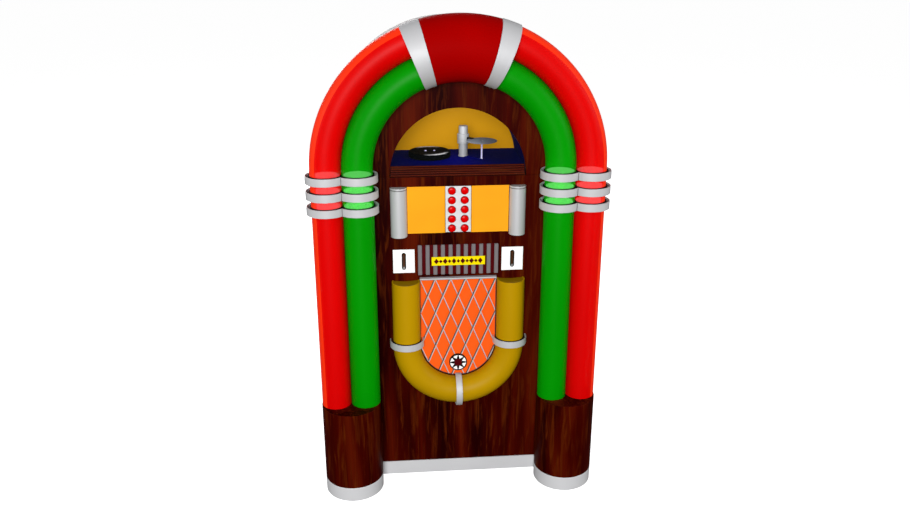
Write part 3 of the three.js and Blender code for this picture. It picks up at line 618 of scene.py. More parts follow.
class JUKEBOX_OT_finishes(bpy.types.Operator):
    """Make the materials"""

    bl_idname = "jukebox.finishes"
    bl_label = "Finishes"

    def execute(self, context):
        mahogany("Mahogany veneer")
        mahogany("Mahogany veneer, bent", "UV", "X")
        mahogany("Stained mahogany", dark="#1e0000", middle="#3c0604", light="#571208")
        mahogany("Red-stained mahogany", along="X", dark="#2c0000", middle="#3c0000", light="#480000")
        # Lighter mahogany for the beads along the sill's steps, standing in for light on their edges: painted
        # highlight.
        mahogany("Worn mahogany edge", along="X", dark="#6c2006", middle="#7c2a0c", light="#8c3610")
        cast_acrylic("Red cast acrylic", colour("red_tube"), 0.68, 0.08)
        # A lighter, more glowing copy of the red acrylic for the red tubes' outward faces: painted highlight.
        cast_acrylic("Red cast acrylic, lit side", linear("#f4320e"), 0.9, 0.16)
        cast_acrylic("Green cast acrylic", colour("green_tube"), 0.68, 0.05)
        cast_acrylic("Gold cast acrylic", colour("gold"), 0.82, 0.0)
        # A half-bright copy of the gold acrylic for the plugs in the gold tube's ends: painted shade.
        cast_acrylic("Gold acrylic, edge", tuple(c * 0.5 for c in colour("gold")), 0.95, 0.05)
        cast_acrylic("Dark red cast acrylic", colour("crown"), 0.97, 0.02, 0.55, 1.06)
        satin_nickel("Satin nickel", colour("nickel"))
        satin_nickel("Brushed nickel, upright", colour("nickel"), 0.5, (1500, 40, 6), 0.2)
        # A paler copy of the satin nickel for the kick plate, plinths and button plate, standing in for light they
        # don't get: painted light.
        satin_nickel("Bright nickel", linear("#dedee0"))
        # Dark nickel for the lattice border. It also paints shade on the strips' left flanks and crossings, in the
        # clasps' creases and in the columns' grooves.
        satin_nickel("Dark lattice edge", linear("#4a3c3e"), 0.5)
        satin_nickel("Grey bead", linear("#857c80"), 0.5)
        # The white enamel glows a little so that it reads pure white: painted light.
        enamel("White stove enamel", linear("#fcfcfc"), 0.3, 0.02, glow=0.14)
        enamel("Black stove enamel", linear("#0b0b0c"), 0.35)
        enamel("Grey stove enamel", colour("slat"), 0.4)
        enamel("Yellow stove enamel", colour("sign"), 0.35, 0.03)
        enamel("Maroon enamel", linear("#500006"), 0.4)
        enamel("Navy enamel", colour("deck"), 0.7, ior=1.04)
        enamel("Red phenolic button", colour("button"), 0.22, 0.03)
        enamel("Paper cone", linear("#1a1714"), 0.9)
        enamel("Black plastic", linear("#101012"), 0.4)
        enamel("Black rubber", linear("#08080a"), 0.8)
        # The grille cloth glows a little: painted light.
        speaker_cloth("Grille cloth weave", colour("cloth"), 0.2)
        # The opal spacers in the tubes glow strongly: painted light.
        glowing_sheet("Red opal", linear("#ffa8a8"), 1.5)
        glowing_sheet("Green opal", linear("#a4ffa4"), 2.4)
        # The chamber's backdrop glows, standing in for even light on it: painted light.
        glowing_sheet("Backdrop lacquer", colour("backdrop"), 0.27)
        glowing_sheet("Opal title sheet", colour("title"), 0.05)
        # The lavender plastic glows a little: painted light.
        glowing_sheet("Lavender plastic", linear("#cfcaf0"), 0.12)
        # The record gets a painted sheen in pale grey.
        pressed_vinyl("Black pressed vinyl", linear("#050506"), "platter", "#c8c8ca")
        pressed_vinyl("Black phenolic", linear("#050506"), "platter")
        pressed_vinyl("Slate pressed vinyl", linear("#666a72"), "held_record")
        cast_metal("Cast zinc", linear("#9a9b9d"), 0.5, 0.2)
        cast_metal("Bronze chute", linear("#6a3a12"), 0.4)
        cast_metal("Blackened steel", linear("#1c1c1e"), 0.45)
        cast_metal("Grey cast steel", linear("#8e9094"), 0.45)
        cast_metal("Copper winding", linear("#a85a2c"), 0.35)
        float_glass("Float glass")
        float_glass("Valve glass")
        return {"FINISHED"}


class JUKEBOX_OT_shell(bpy.types.Operator):
    """Bend the cabinet's sides and roof from one board, with its floor and glue blocks"""

    bl_idname = "jukebox.shell"
    bl_label = "Cabinet shell"

    def execute(self, context):
        low, high = corners("cabinet_shell")
        radius, spring = high.x, spring_line()
        inner = radius - CABINET_BOARD
        outline = [(-radius, 0), (-inner, 0)] + arc(inner, 180, 0, 64, (0, spring))
        outline += [(inner, 0), (radius, 0)] + arc(radius, 0, 180, 64, (0, spring))

        def bent(p):
            """Metres up the board and round its bend, and across it."""
            along = p.z
            if p.z >= spring:
                along = spring + radius * math.acos(min(1, abs(p.x) / math.hypot(p.x, p.z - spring)))
            return along * MM, p.y * MM + (0.9 if p.x > 0 else 0)

        bm = board(outline, low.y, high.y, bevel=1.2)
        wrap(bm, bent)
        part("cabinet_shell_finish", bm, "Mahogany veneer, bent", "cabinet_shell")
        floor = corners("base_trim")[1].z
        top = floor + CABINET_BOARD
        bm = bmesh.new()
        block(bm, (-inner + 0.2, low.y + 2, floor), (inner - 0.2, high.y - 2, top), 0.8)
        for sign in (-1, 1):
            a, b = sorted((sign * (inner - 30), sign * (inner - 0.2)))
            for y in (low.y + 8, high.y - 40):
                block(bm, (a, y, top + 0.2), (b, y + 30, floor + 120), 2)
        part("cabinet_floor", bm, "Stained mahogany")
        return {"FINISHED"}


class JUKEBOX_OT_front_boards(bpy.types.Operator):
    """Cut the lower front board and the arched board above it"""

    bl_idname = "jukebox.front_boards"
    bl_label = "Front boards"

    def execute(self, context):
        gap, edge = 0.4, size("board_edge") * 0.3
        low, high = corners("grille_cloth")
        holes = [front_of("title_panel", gap), front_of("louvre_backing", gap)]
        holes.append(u_shape(high.x + gap, high.z + gap, low.z + high.x))
        for side, _ in SIDES:
            x, _, z = centre_of("coin_plate_" + side)
            holes.append(rectangle(x - 9, z - 30, x + 9, z + 30))
        low, high = corners("front_panel")
        bm = board(front_of("front_panel"), low.y, high.y, holes, edge)
        part("front_board", bm, "Mahogany veneer", "front_panel")

        low, high = corners("arch_panel")
        radius = corners("window_glass")[1].x + gap
        outline = [(high.x, low.z)] + arc(high.x, 0, 180, 80, (0, spring_line()))
        outline += [(low.x, low.z), (-radius, low.z)] + arc(radius, 180, 0, 72, (0, low.z))[1:]
        part("arch_board", board(outline, low.y, high.y, bevel=edge), "Mahogany veneer", "arch_panel")
        return {"FINISHED"}


class JUKEBOX_OT_base(bpy.types.Operator):
    """Turn the half-round plinths and pedestals, with the kick plate between them"""

    bl_idname = "jukebox.base"
    bl_label = "Skirting and pedestals"

    def execute(self, context):
        trim, face = corners("base_trim")[1], corners("front_panel")[0].y
        reach = corners("pedestal_right")[0].x + 40
        ends = (-reach, face - 2, 0), (reach, trim.y, trim.z)
        # The kick plate and the plinths are in the paler nickel: painted light.
        box_piece("kick_plate", *ends, 1.2, "Bright nickel", "bright_metal", "base_trim")
        for side, sign in SIDES:
            node = "pedestal_" + side
            low, high = corners(node)
            x, radius = centre_of(node)[0], radius_of(node)
            y = low.y + radius
            profile = rounded(disc(radius, 0, trim.z), 1.6)
            nickel = ("Bright nickel", "bright_metal", "base_trim")
            lathe("plinth_" + side, profile, (x, y, 0), *nickel, steps=96, back=face + 1.8)
            deck, inner, lid = high.z - 12, radius - 20, radius - 2.5
            profile = [(inner, deck), (inner, low.z), (radius, low.z), (radius, high.z - 0.8)]
            profile += [(radius - 0.8, high.z), (lid + 0.2, high.z), (lid + 0.2, deck), (inner, deck)]

            def round_drum(p):
                """Metres up the drum and round it."""
                turn = math.atan2(p.y - y, p.x - x - 0.01) + math.pi
                return p.z * MM, turn % (2 * math.pi) * radius * MM + sign

            bm = keep_front(revolve(bmesh.new(), profile, (x, y, 0), steps=96), high.y)
            wrap(bm, round_drum)
            part("pedestal_drum_" + side, bm, "Mahogany veneer, bent", node)
            profile = rounded(disc(lid, deck + 0.2, high.z - 0.3), 0.6)
            wood = ("Stained mahogany", "dark_wood", node)
            lathe("pedestal_top_" + side, profile, (x, y, 0), *wood, steps=96, back=high.y)
        return {"FINISHED"}


def paint_highlight_side(tube, outward):
    """Gives the faces within 50 degrees of outward on a red tube a lighter, more glowing copy of the red acrylic: a
    painted highlight.
    """
    tube.data.materials.append(bpy.data.materials["Red cast acrylic, lit side"])
    for face in tube.data.polygons:
        if outward(face.center / MM) > math.cos(math.radians(50)):
            face.material_index = 1


class JUKEBOX_OT_light_tubes(bpy.types.Operator):
    """Cast the upright light tubes and the two arches, with the opal discs inside them"""

    bl_idname = "jukebox.light_tubes"
    bl_label = "Light tubes"

    def execute(self, context):
        wall, spring = size("tube_wall"), spring_line()
        for shade in ("red", "green"):
            acrylic, slot = shade.capitalize() + " cast acrylic", shade + "_tube"
            for side, sign in SIDES:
                node = f"{shade}_pilaster_{side}"
                low, high = corners(node)
                (x, y, _), radius = centre_of(node), radius_of(node)
                inner, centre = radius - wall, (x, y, 0)
                profile = ring(inner, radius, low.z, high.z)
                tube = lathe(f"{shade}_tube_{side}", profile, centre, acrylic, slot, node, steps=72)
                # The red tube's outward faces get a painted highlight.
                if shade == "red":
                    paint_highlight_side(tube, lambda p: sign * (p.x - x) / math.hypot(p.x - x, p.y - y))
                bottom, top = (corner.z for corner in corners("clasp_" + side))
                pitch = (top - bottom - CLASP_BAND) / (CLASP_BANDS - 1)
                bm = bmesh.new()
                for k in range(CLASP_BANDS):
                    z = top - k * pitch - 1.5
                    revolve(bm, rounded(disc(inner - 0.5, z - 3, z), 0.6), centre, steps=48)
                # The opal spacers glow: painted light.
                part(f"{shade}_spacers_{side}", bm, shade.capitalize() + " opal")
                # A black rubber foot closes each tube and darkens its foot as seen through the walls: partly painted
                # shade.
                foot = low.z + 0.5
                profile = rounded(disc(inner - 0.5, foot, foot + 3), 0.6)
                lathe(f"{shade}_foot_{side}", profile, centre, "Black rubber", "black_plastic", steps=48)
            low, high = corners(shade + "_arch")
            bend = high.x - radius
            sections = [arc(r, 0, 360, 56)[:-1] for r in (radius, radius - wall)]
            bm = sweep(sections, (0, y, spring), bend, 0, 180, 88, lead=spring - low.z)
            tube = part(shade + "_tube_arch", bm, acrylic, shade + "_arch")

            def outward(p):
                out = (math.hypot(p.x, p.z - spring) if p.z > spring else abs(p.x)) - bend
                return out / max(1, math.hypot(out, p.y - y))

            # The red arch's outward faces get a painted highlight.
            if shade == "red":
                paint_highlight_side(tube, outward)
        return {"FINISHED"}


def figure_eight(radius, offset, back):
    """Half an outline round two overlapping circles, open at the back: from the left end round the front
    to the right end."""
    waist, end = math.degrees(math.acos(offset / radius)), math.degrees(math.asin(back / radius))
    left = arc(radius, 180 - end, 360 - waist, 36, (-offset, 0))
    return left + arc(radius, 180 + waist, 360 + end, 36, (offset, 0))[1:]


class JUKEBOX_OT_clasps(bpy.types.Operator):
    """Bend the figure-eight clasps, each with its rubber collar and back strip"""

    bl_idname = "jukebox.clasps"
    bl_label = "Clasps"

    def execute(self, context):
        for side, _ in SIDES:
            node = "clasp_" + side
            low, high = corners(node)
            centres = [centre_of(f"{shade}_pilaster_{side}")[0] for shade in ("red", "green")]
            tube, y = radius_of("red_pilaster_" + side), centre_of("red_pilaster_" + side)[1]
            middle, offset = sum(centres) / 2, abs(centres[0] - centres[1]) / 2
            outer = radius_of(node) - offset
            outside = figure_eight(outer, offset, high.y - y)
            inside = figure_eight(outer - size("clasp_wall"), offset, high.y - y)
            outline = [(middle + px, y + py) for px, py in outside + inside[::-1]]
            # The two loops of a band meet in a crease at the waist, where a thin dark block paints shade.
            waist = y - math.sqrt(outer**2 - offset**2)
            bm, rubber, crease_shade = bmesh.new(), bmesh.new(), bmesh.new()
            for k in range(CLASP_BANDS):
                top = high.z - k * (high.z - low.z - CLASP_BAND) / (CLASP_BANDS - 1)
                bottom = top - CLASP_BAND
                ends = (middle - 0.8, waist - 1.2, bottom + 0.4), (middle + 0.8, waist + 1, top - 0.4)
                block(crease_shade, *ends, 0.3)
                board(outline, bottom, top, bevel=0.7, along="Z", bm=bm)
                # Black rubber collars, sunk below each band's top, hold the tubes, and their black fills the gap with
                # painted shade.
                for x in centres:
                    revolve(rubber, ring(tube + 0.4, tube + 4.5, bottom + 1, top - 0.4), (x, y, 0), steps=48)
            keep_front(rubber, high.y - 0.2)
            block(bm, (middle - 14, high.y - 4, low.z), (middle + 14, high.y, high.z), 0.8)
            part("clasp_band_" + side, bm, "Satin nickel", node)
            part("clasp_rubber_" + side, rubber, "Black rubber")
            part("clasp_crease_" + side, crease_shade, "Dark lattice edge")
        return {"FINISHED"}


class JUKEBOX_OT_crown(bpy.types.Operator):
    """Mould the red crown over both arches and its two nickel bands"""

    bl_idname = "jukebox.crown"
    bl_label = "Crown"

    def execute(self, context):
        red, green = corners("red_pilaster_right"), corners("green_pilaster_right")
        middle, y = (red[1].x + green[0].x) / 2, centre_of("red_pilaster_right")[1]
        centre = (0, y, spring_line())
        low, high = corners("crown")
        outer, back = y - low.y, high.y - y
        inner = outer - size("crown_wall")
        half = 15.3
        bm = sweep([channel_section(outer, inner, back, 64)], centre, middle, 90 - half, 90 + half, 40)
        round_edges(bm, 0.8)
        part("crown_moulding", bm, "Dark red cast acrylic", "crown")
        # A plate closes the hollow in front of the two tubes where a band ends.
        offset, tube = centre_of("red_pilaster_right")[0] - middle, radius_of("red_pilaster_right") + 0.4
        rim = inner - 0.4
        start = -math.degrees(math.acos(min(1, (rim**2 - offset**2 - tube**2) / (2 * offset * tube) - 0.02)))
        edge = Vector((offset + tube * math.cos(math.radians(start)), tube * math.sin(math.radians(start))))
        a = math.degrees(math.atan2(edge.y, edge.x))
        plate = arc(rim, -180 - a, a, 48) + arc(tube, start, -178, 24, (offset, 0))
        plate += arc(tube, -2, -180 - start, 24, (-offset, 0))
        for side, sign in SIDES:
            a, b = sorted((90 - sign * 15.37, 90 - sign * 22.9))
            bm = sweep([channel_section(outer + 1.6, inner, back, 64)], centre, middle, a, b, 12)
            round_edges(bm, 0.9)
            part("crown_ring_" + side, bm, "Satin nickel", "crown_band_" + side)
            end = 90 - sign * 22.7
            a, b = sorted((end, end + sign * 0.3))
            bm = sweep([plate], centre, middle, a, b, 1)
            part("crown_end_plate_" + side, bm, "Satin nickel")
        return {"FINISHED"}


class JUKEBOX_OT_gold_tube(bpy.types.Operator):
    """Bend the gold tube with its two end plates"""

    bl_idname = "jukebox.gold_tube"
    bl_label = "Gold tube"

    def execute(self, context):
        low, high = corners("gold_tube")
        bend, top = centre_of("gold_ring_right")[0], high.z
        radius = high.x - bend
        y, z, inner = low.y + radius, low.z + bend + radius, radius - size("gold_wall")
        section = channel_section(radius, inner, high.y - y, 56)
        bm = sweep([section], (0, y, z), bend, 180, 360, 88, lead=top - z)
        part("gold_tube_bend", bm, "Gold cast acrylic", "gold_tube")
        # Plugs in the tube's top ends, in a darker copy of the gold: painted shade.
        bm = bmesh.new()
        for sign in (-1, 1):
            profile = [(0, top - 9), (inner - 0.3, top - 5), (inner - 0.3, top - 1.5), (0, top - 5.5)]
            revolve(bm, profile, (sign * bend, y, 0))
        part("gold_tube_ends", keep_front(bm, high.y - 0.2), "Gold acrylic, edge")
        return {"FINISHED"}


class JUKEBOX_OT_gold_rings(bpy.types.Operator):
    """Roll the thin rings round the gold tube and its centre band"""

    bl_idname = "jukebox.gold_rings"
    bl_label = "Gold tube rings"

    def execute(self, context):
        gold, wall = corners("gold_tube"), size("gold_ring_wall")
        for side, _ in SIDES:
            node = "gold_ring_" + side
            low, high = corners(node)
            x, outer = centre_of(node)[0], radius_of(node)
            tube, y = gold[1].x - abs(x), low.y + outer
            outline = [(x + px, y + py) for px, py in channel_section(outer, outer - wall, high.y - y, 64)]
            bm = board(outline, low.z, high.z, bevel=0.7, along="Z")
            part("gold_tube_ring_" + side, bm, "Satin nickel", node)
            profile = ring(tube + 0.5, tube + 2.5, low.z + 8, high.z - 0.6)
            rubber = ("Black rubber", "black_plastic")
            lathe("gold_ring_seat_" + side, profile, (x, y, 0), *rubber, steps=48, back=high.y - 0.2)
        low, high = corners("gold_centre_band")
        y, z = gold[0].y + tube, gold[0].z + tube
        outer, back, half = y - low.y, high.y - y, 10

        def across(section, width, bevel=0.0):
            """A channel of half a width to either side, along X."""
            return board([(y + py, z - out) for out, py in section], -width, width, bevel=bevel, along="X")

        bm = across(channel_section(outer, outer - wall, back, 56), half, 0.7)
        part("gold_tube_centre_band", bm, "Satin nickel", "gold_centre_band")
        bm = across(channel_section(outer - wall - 0.2, tube + 1.5, back - 0.2, 56), half - 3)
        part("gold_band_seat", bm, "Black rubber")
        return {"FINISHED"}


class JUKEBOX_OT_grille(bpy.types.Operator):
    """Stretch the cloth and lay the ridged lattice, its border and rail over it"""

    bl_idname = "jukebox.grille"
    bl_label = "Speaker grille"

    def execute(self, context):
        low, high = corners("grille_cloth")
        half = high.x
        centre = low.z + half
        bm = board(u_shape(half, high.z, centre), low.y + 1.2, high.y, bevel=0.5)
        backing = part("grille_board", bm, "Black stove enamel", "grille_cloth")
        bm = board(u_shape(half, high.z, centre), low.y, low.y + 0.9)
        cloth = part("grille_cloth_sheet", bm, "Grille cloth weave", "grille_cloth")

        low, high = corners("grille_lattice")
        front, back, top = high.y - 3, high.y, high.z
        width, pitch, rise = size("strip_width"), size("strip_pitch"), size("strip_rise")
        start, slope, reach = top - 9, pitch / 2 / rise, half - 1.2
        rose = corners("rosette")
        rose_z, rose_radius = (rose[0].z + rose[1].z) / 2, (rose[1].z - rose[0].z) / 2

        def clear(place, margin=0):
            """Whether a place keeps a margin from the grille's border and the rosette."""
            x, z = place
            edge = reach if z > centre else math.sqrt(max(0, reach**2 - (centre - z) ** 2))
            return abs(x) < edge - margin and math.hypot(x, z - rose_z) > rose_radius + 1 + margin

        bars, edges = bmesh.new(), bmesh.new()
        columns = range(-8, 9)
        for turn, k in itertools.product((-1, 1), columns):
            # A strip is folded to a ridge: one flank is bright and the other, its left, is dark, a painted shade.
            ridge, left, right, lower = (-0.05, -0.95, 0.85, 0) if turn < 0 else (-0.4, -0.65, 0.4, 0.3)
            flanks = (bars, ridge, right, lower), (edges, left, ridge, lower + 0.4)
            steps = range(int(start - low.z))
            line = [((k + 0.5) * pitch + turn * slope * step, start - step) for step in steps]
            for free, run in itertools.groupby(line, clear):
                run = list(run)
                if not free or len(run) <= 3:
                    continue
                (xa, za), (xb, zb) = run[0], run[-1]
                long = math.hypot(xa - xb, za - zb)
                middle = Vector(((xa + xb) / 2, 0, (za + zb) / 2))
                angle = math.degrees(math.atan2(xb - xa, za - zb))
                for target, low_x, high_x, sunk in flanks:
                    ends = (low_x * width, front + sunk, -long / 2), (high_x * width, back, long / 2)
                    made = block(target, *ends, 0.25, 1)
                    bmesh.ops.translate(target, vec=middle, verts=made)
                    turned(target, made, -angle, middle)
        # Dark blocks at the strips' crossings: painted shade.
        for row, k in itertools.product(range(1, 12), columns):
            x, z = (k + 0.5 - row / 2) * pitch, start - row * rise + 5
            if clear((x, z), 4):
                made = block(edges, (-1.9, front - 0.3, -4), (1.5, back, 4), 0.4, 1)
                bmesh.ops.translate(edges, vec=(x, 0, z), verts=made)
        part("lattice_strips", bars, "Satin nickel", "grille_lattice")
        part("lattice_flanks", edges, "Dark lattice edge", "grille_lattice")
        bm = board(u_shape(half, top, centre), front - 0.4, back, [u_shape(half - 1.6, top - 3, centre)], 0.4)
        block(bm, (-half, low.y + 1.6, top - 11.2), (half, back, top), 0.5)
        part("lattice_border", bm, "Dark lattice edge", "grille_lattice")
        ends = (-half, low.y, top - 10), (half, low.y + 2.6, top - 5)
        box_piece("lattice_rail", *ends, 0.8, "Satin nickel", "bright_metal", "grille_lattice")
        ends = (-half + 0.5, low.y + 0.8, top - 3.9), (half - 0.5, low.y + 2.6, top - 0.4)
        box_piece("lattice_top_bead", *ends, 0.6, "Grey bead", "bright_metal")
        return {"FINISHED"}


class JUKEBOX_OT_rosette(bpy.types.Operator):
    """Turn the white rosette and set the eight-point star in it"""

    bl_idname = "jukebox.rosette"
    bl_label = "Rosette"

    def execute(self, context):
        low, high = corners("rosette")
        y, z, radius = low.y, centre_of("rosette")[2], radius_of("rosette")
        centre, inner, tip = (0, 0, z), radius - 2.9, radius - 3.1
        profile = rounded(disc(radius - 3, y + 2.2, high.y), 0.5)
        # The rosette's white enamel glows a little: painted light.
        lathe("rosette_disc", profile, centre, "White stove enamel", "white_enamel", "rosette", axis="Y")
        profile = [(inner, y + 0.4), (radius - 1.2, y), (radius, y + 0.8), (radius, high.y), (inner, high.y)]
        profile.append(profile[0])
        lathe("rosette_rim", profile, centre, "Black stove enamel", "black_iron", "rosette", axis="Y")
        star = []
        for k in range(8):
            for turn, r in ((-4, tip), (4, tip), (22.5, tip * 0.5)):
                angle = math.radians(45 * k + turn)
                star.append((r * math.sin(angle), z + r * math.cos(angle)))
        part("rosette_star", board(star, y + 1.3, y + 2.1, bevel=0.25), "Black stove enamel")
        r = tip * 0.48
        profile = [(0, y + 0.3), (r * 0.6, y + 0.5), (r, y + 1.2), (0, y + 1.2)]
        lathe("rosette_boss", profile, centre, "Maroon enamel", "white_enamel", axis="Y", steps=40)
        return {"FINISHED"}


class JUKEBOX_OT_speaker(bpy.types.Operator):
    """Turn the loudspeaker: basket, ribbed paper cone, dust cap and magnet"""

    bl_idname = "jukebox.speaker"
    bl_label = "Loudspeaker"

    def execute(self, context):
        low, high = corners("speaker")
        y, rim = low.y, (high.z - low.z) / 2
        centre = (0, 0, centre_of("speaker")[2])
        profile = [(rim - 14, y), (rim, y), (rim, y + 4), (rim - 8, y + 7), (50, y + 50), (50, y + 54)]
        profile += [(44, y + 54), (44, y + 48), (rim - 14, y + 6), (rim - 14, y)]
        bm = revolve(bmesh.new(), profile, centre, "Y")
        for k in range(8):
            made = block(bm, (-6, y + 50, 40), (6, y + 53, 50), 1)
            turned(bm, made, 45 * k, (0, 0, 0))
            bmesh.ops.translate(bm, vec=centre, verts=made)
        part("speaker_basket", bm, "Blackened steel", "speaker")
        profile = [(0, y + 30), (14, y + 27), (17, y + 32)]
        for k in range(10):
            profile.append((20 + (rim - 38) * k / 9, y + 32 - 27 * k / 9 + (0.8 if k % 2 else 0)))
        profile += [(rim - 15, y + 2), (rim - 15, y + 4.5), (20, y + 37), (0, y + 36)]
        lathe("speaker_cone", profile, centre, "Paper cone", "black_iron", "speaker", axis="Y")
        bm = bmesh.new()
        for radius, a, b in ((46, y + 55, y + 78), (34, y + 78.5, high.y)):
            revolve(bm, rounded(disc(radius, a, b), 2), centre, "Y", 48)
        part("speaker_magnet", bm, "Grey cast steel", "speaker")
        return {"FINISHED"}


class JUKEBOX_OT_selector(bpy.types.Operator):
    """Set the title sheets, the button plate and the ten buttons"""

    bl_idname = "jukebox.selector"
    bl_label = "Selector"

    def execute(self, context):
        low, high = corners("title_panel")
        near, far = corners("button_plate")
        for side, sign in SIDES:
            a, b = sorted((sign * (far.x + 0.6), sign * high.x))
            ends = (a, low.y, low.z), (b, high.y, high.z)
            box_piece("title_sheet_" + side, *ends, 0.6, "Opal title sheet", "amber_sheet", "title_panel")
        places = [centre_of(name) for name in BUTTONS]
        hole = BUTTON_RADIUS + 0.5
        holes = [arc(hole, 0, 360, 40, (x, z))[:-1] for x, _, z in places]
        bm = board(front_of("button_plate"), near.y, far.y, holes, 0.4)
        # The button plate is in the paler nickel: painted light.
        part("selector_plate", bm, "Bright nickel", "button_plate")
        bm = bmesh.new()
        for sign in (-1, 1):
            a, b = sorted((sign * (far.x + 0.1), sign * (far.x + 1.1)))
            block(bm, (a, near.y - 0.3, near.z), (b, near.y + 3, far.z), 0.2)
        part("selector_edges", bm, "Blackened steel")
        bm = bmesh.new()
        a, b = near.y - 0.8, near.y - 0.05
        for x, _, z in places:
            revolve(bm, [(hole, b), (hole, a), (12.4, a), (12.8, b), (hole, b)], (x, 0, z), "Y", 40)
        part("selector_bezels", bm, "Maroon enamel")
        dome, r = size("button_dome"), BUTTON_RADIUS
        for name, (x, _, z) in zip(BUTTONS, places):
            low, high = corners(name)
            y, back, flange = low.y, high.y, radius_of(name)
            profile = [(0, y), (r * 0.45, y + dome * 0.18), (r * 0.8, y + dome * 0.7), (r - 0.5, y + dome * 1.3)]
            profile += [(r, y + dome * 2), (r, back - 2), (flange, back - 2), (flange, back), (0, back)]
            red = ("Red phenolic button", "button_red", name, name)
            lathe("cap_" + name, profile, (x, 0, z), *red, axis="Y", steps=48, smooth=50)
        return {"FINISHED"}


class JUKEBOX_OT_columns(bpy.types.Operator):
    """Turn the half-round columns with their caps"""

    bl_idname = "jukebox.columns"
    bl_label = "Columns"

    def execute(self, context):
        for side, _ in SIDES:
            node = "column_" + side
            low, high = corners(node)
            r, foot, cap = radius_of(node), low.z, high.z - 7
            centre = (centre_of(node)[0], low.y + r, 0)
            profile = [(0, foot), (r, foot), (r, foot + 5), (r - 0.5, foot + 5.4), (r - 0.5, foot + 6.4)]
            profile += [(r, foot + 6.8), (r, cap - 1), (r - 2, cap - 0.8), (r - 2, cap + 0.8), (r, cap + 1)]
            profile = rounded(profile + [(r, high.z), (0, high.z)], 0.8, 2)
            nickel = ("Brushed nickel, upright", "bright_metal", node)
            lathe(node + "_turned", profile, centre, *nickel, steps=80, back=high.y)
            bm = bmesh.new()
            # Dark rings in the cap's groove and round the top: painted shade.
            for z in (cap, high.z + 0.1):
                revolve(bm, ring(r - 2.4, r - 0.3, z - 0.75, z + 0.75), centre, steps=80)
            part(node + "_lines", keep_front(bm, high.y), "Dark lattice edge")
        return {"FINISHED"}


class JUKEBOX_OT_louvre(bpy.types.Operator):
    """Fit the louvre's backing, its slats and the sign with its chain of diamonds"""

    bl_idname = "jukebox.louvre"
    bl_label = "Louvre and sign"

    def execute(self, context):
        box_piece("louvre_board", *corners("louvre_backing"), 0.8, "Maroon enamel", "dark_wood", "louvre_backing")
        low, high = corners("louvre_slats")
        slats, width = 11, 12.5
        bm = bmesh.new()
        for k in range(slats):
            x = low.x + k * (high.x - low.x - width) / (slats - 1)
            block(bm, (x, low.y, low.z), (x + width, high.y, high.z), size("slat_edge"), 3)
        part("louvre_bars", bm, "Grey stove enamel", "louvre_slats")
        low, high = corners("sign_plate")
        box_piece("sign_board", low, high, 0.7, "Yellow stove enamel", "sign_yellow", "sign_plate")
        z, wide, diamonds = (low.z + high.z) / 2, size("ornament_width"), 11
        bm = bmesh.new()
        for k in range(diamonds):
            x = -wide / 2 + wide * k / (diamonds - 1)
            broad, tall = (5.4, 6.0) if k % 2 else (7.4, 9.4)
            diamond = [(x - broad, z), (x, z - tall), (x + broad, z), (x, z + tall)]
            board(diamond, low.y - 0.5, low.y - 0.05, bevel=0.15, bm=bm)
        part("sign_ornament", bm, "Maroon enamel")
        return {"FINISHED"}


class JUKEBOX_OT_coin_plates(bpy.types.Operator):
    """Fit the coin plates with their rimmed slots"""

    bl_idname = "jukebox.coin_plates"
    bl_label = "Coin plates"

    def execute(self, context):
        for side, _ in SIDES:
            node = "coin_plate_" + side
            low, high = corners(node)
            x, _, z = centre_of(node)
            bm = board(front_of(node), low.y, high.y, [rounded_slot(13.2, 56.2, x, z)], 0.5)
            # The coin plate's white enamel glows a little: painted light.
            part("coin_face_" + side, bm, "White stove enamel", node)
            bm = board(rounded_slot(13, 56, x, z), low.y - 0.4, high.y, [rounded_slot(6.4, 49, x, z)], 0.5)
            part("coin_rim_" + side, bm, "Black stove enamel", node)
            bm = board(rounded_slot(6.2, 48.8, x, z), low.y + 1.2, low.y + 2.2, [rounded_slot(2, 42, x, z)], 0.2)
            part("coin_chute_" + side, bm, "Bronze chute")
            bm = bmesh.new()
            bead(bm, 3.4, (1, 0.5, 1.15), (x, low.y - 0.2, z - 22.5))
            part("coin_bead_" + side, bm, "Cast zinc")
        return {"FINISHED"}


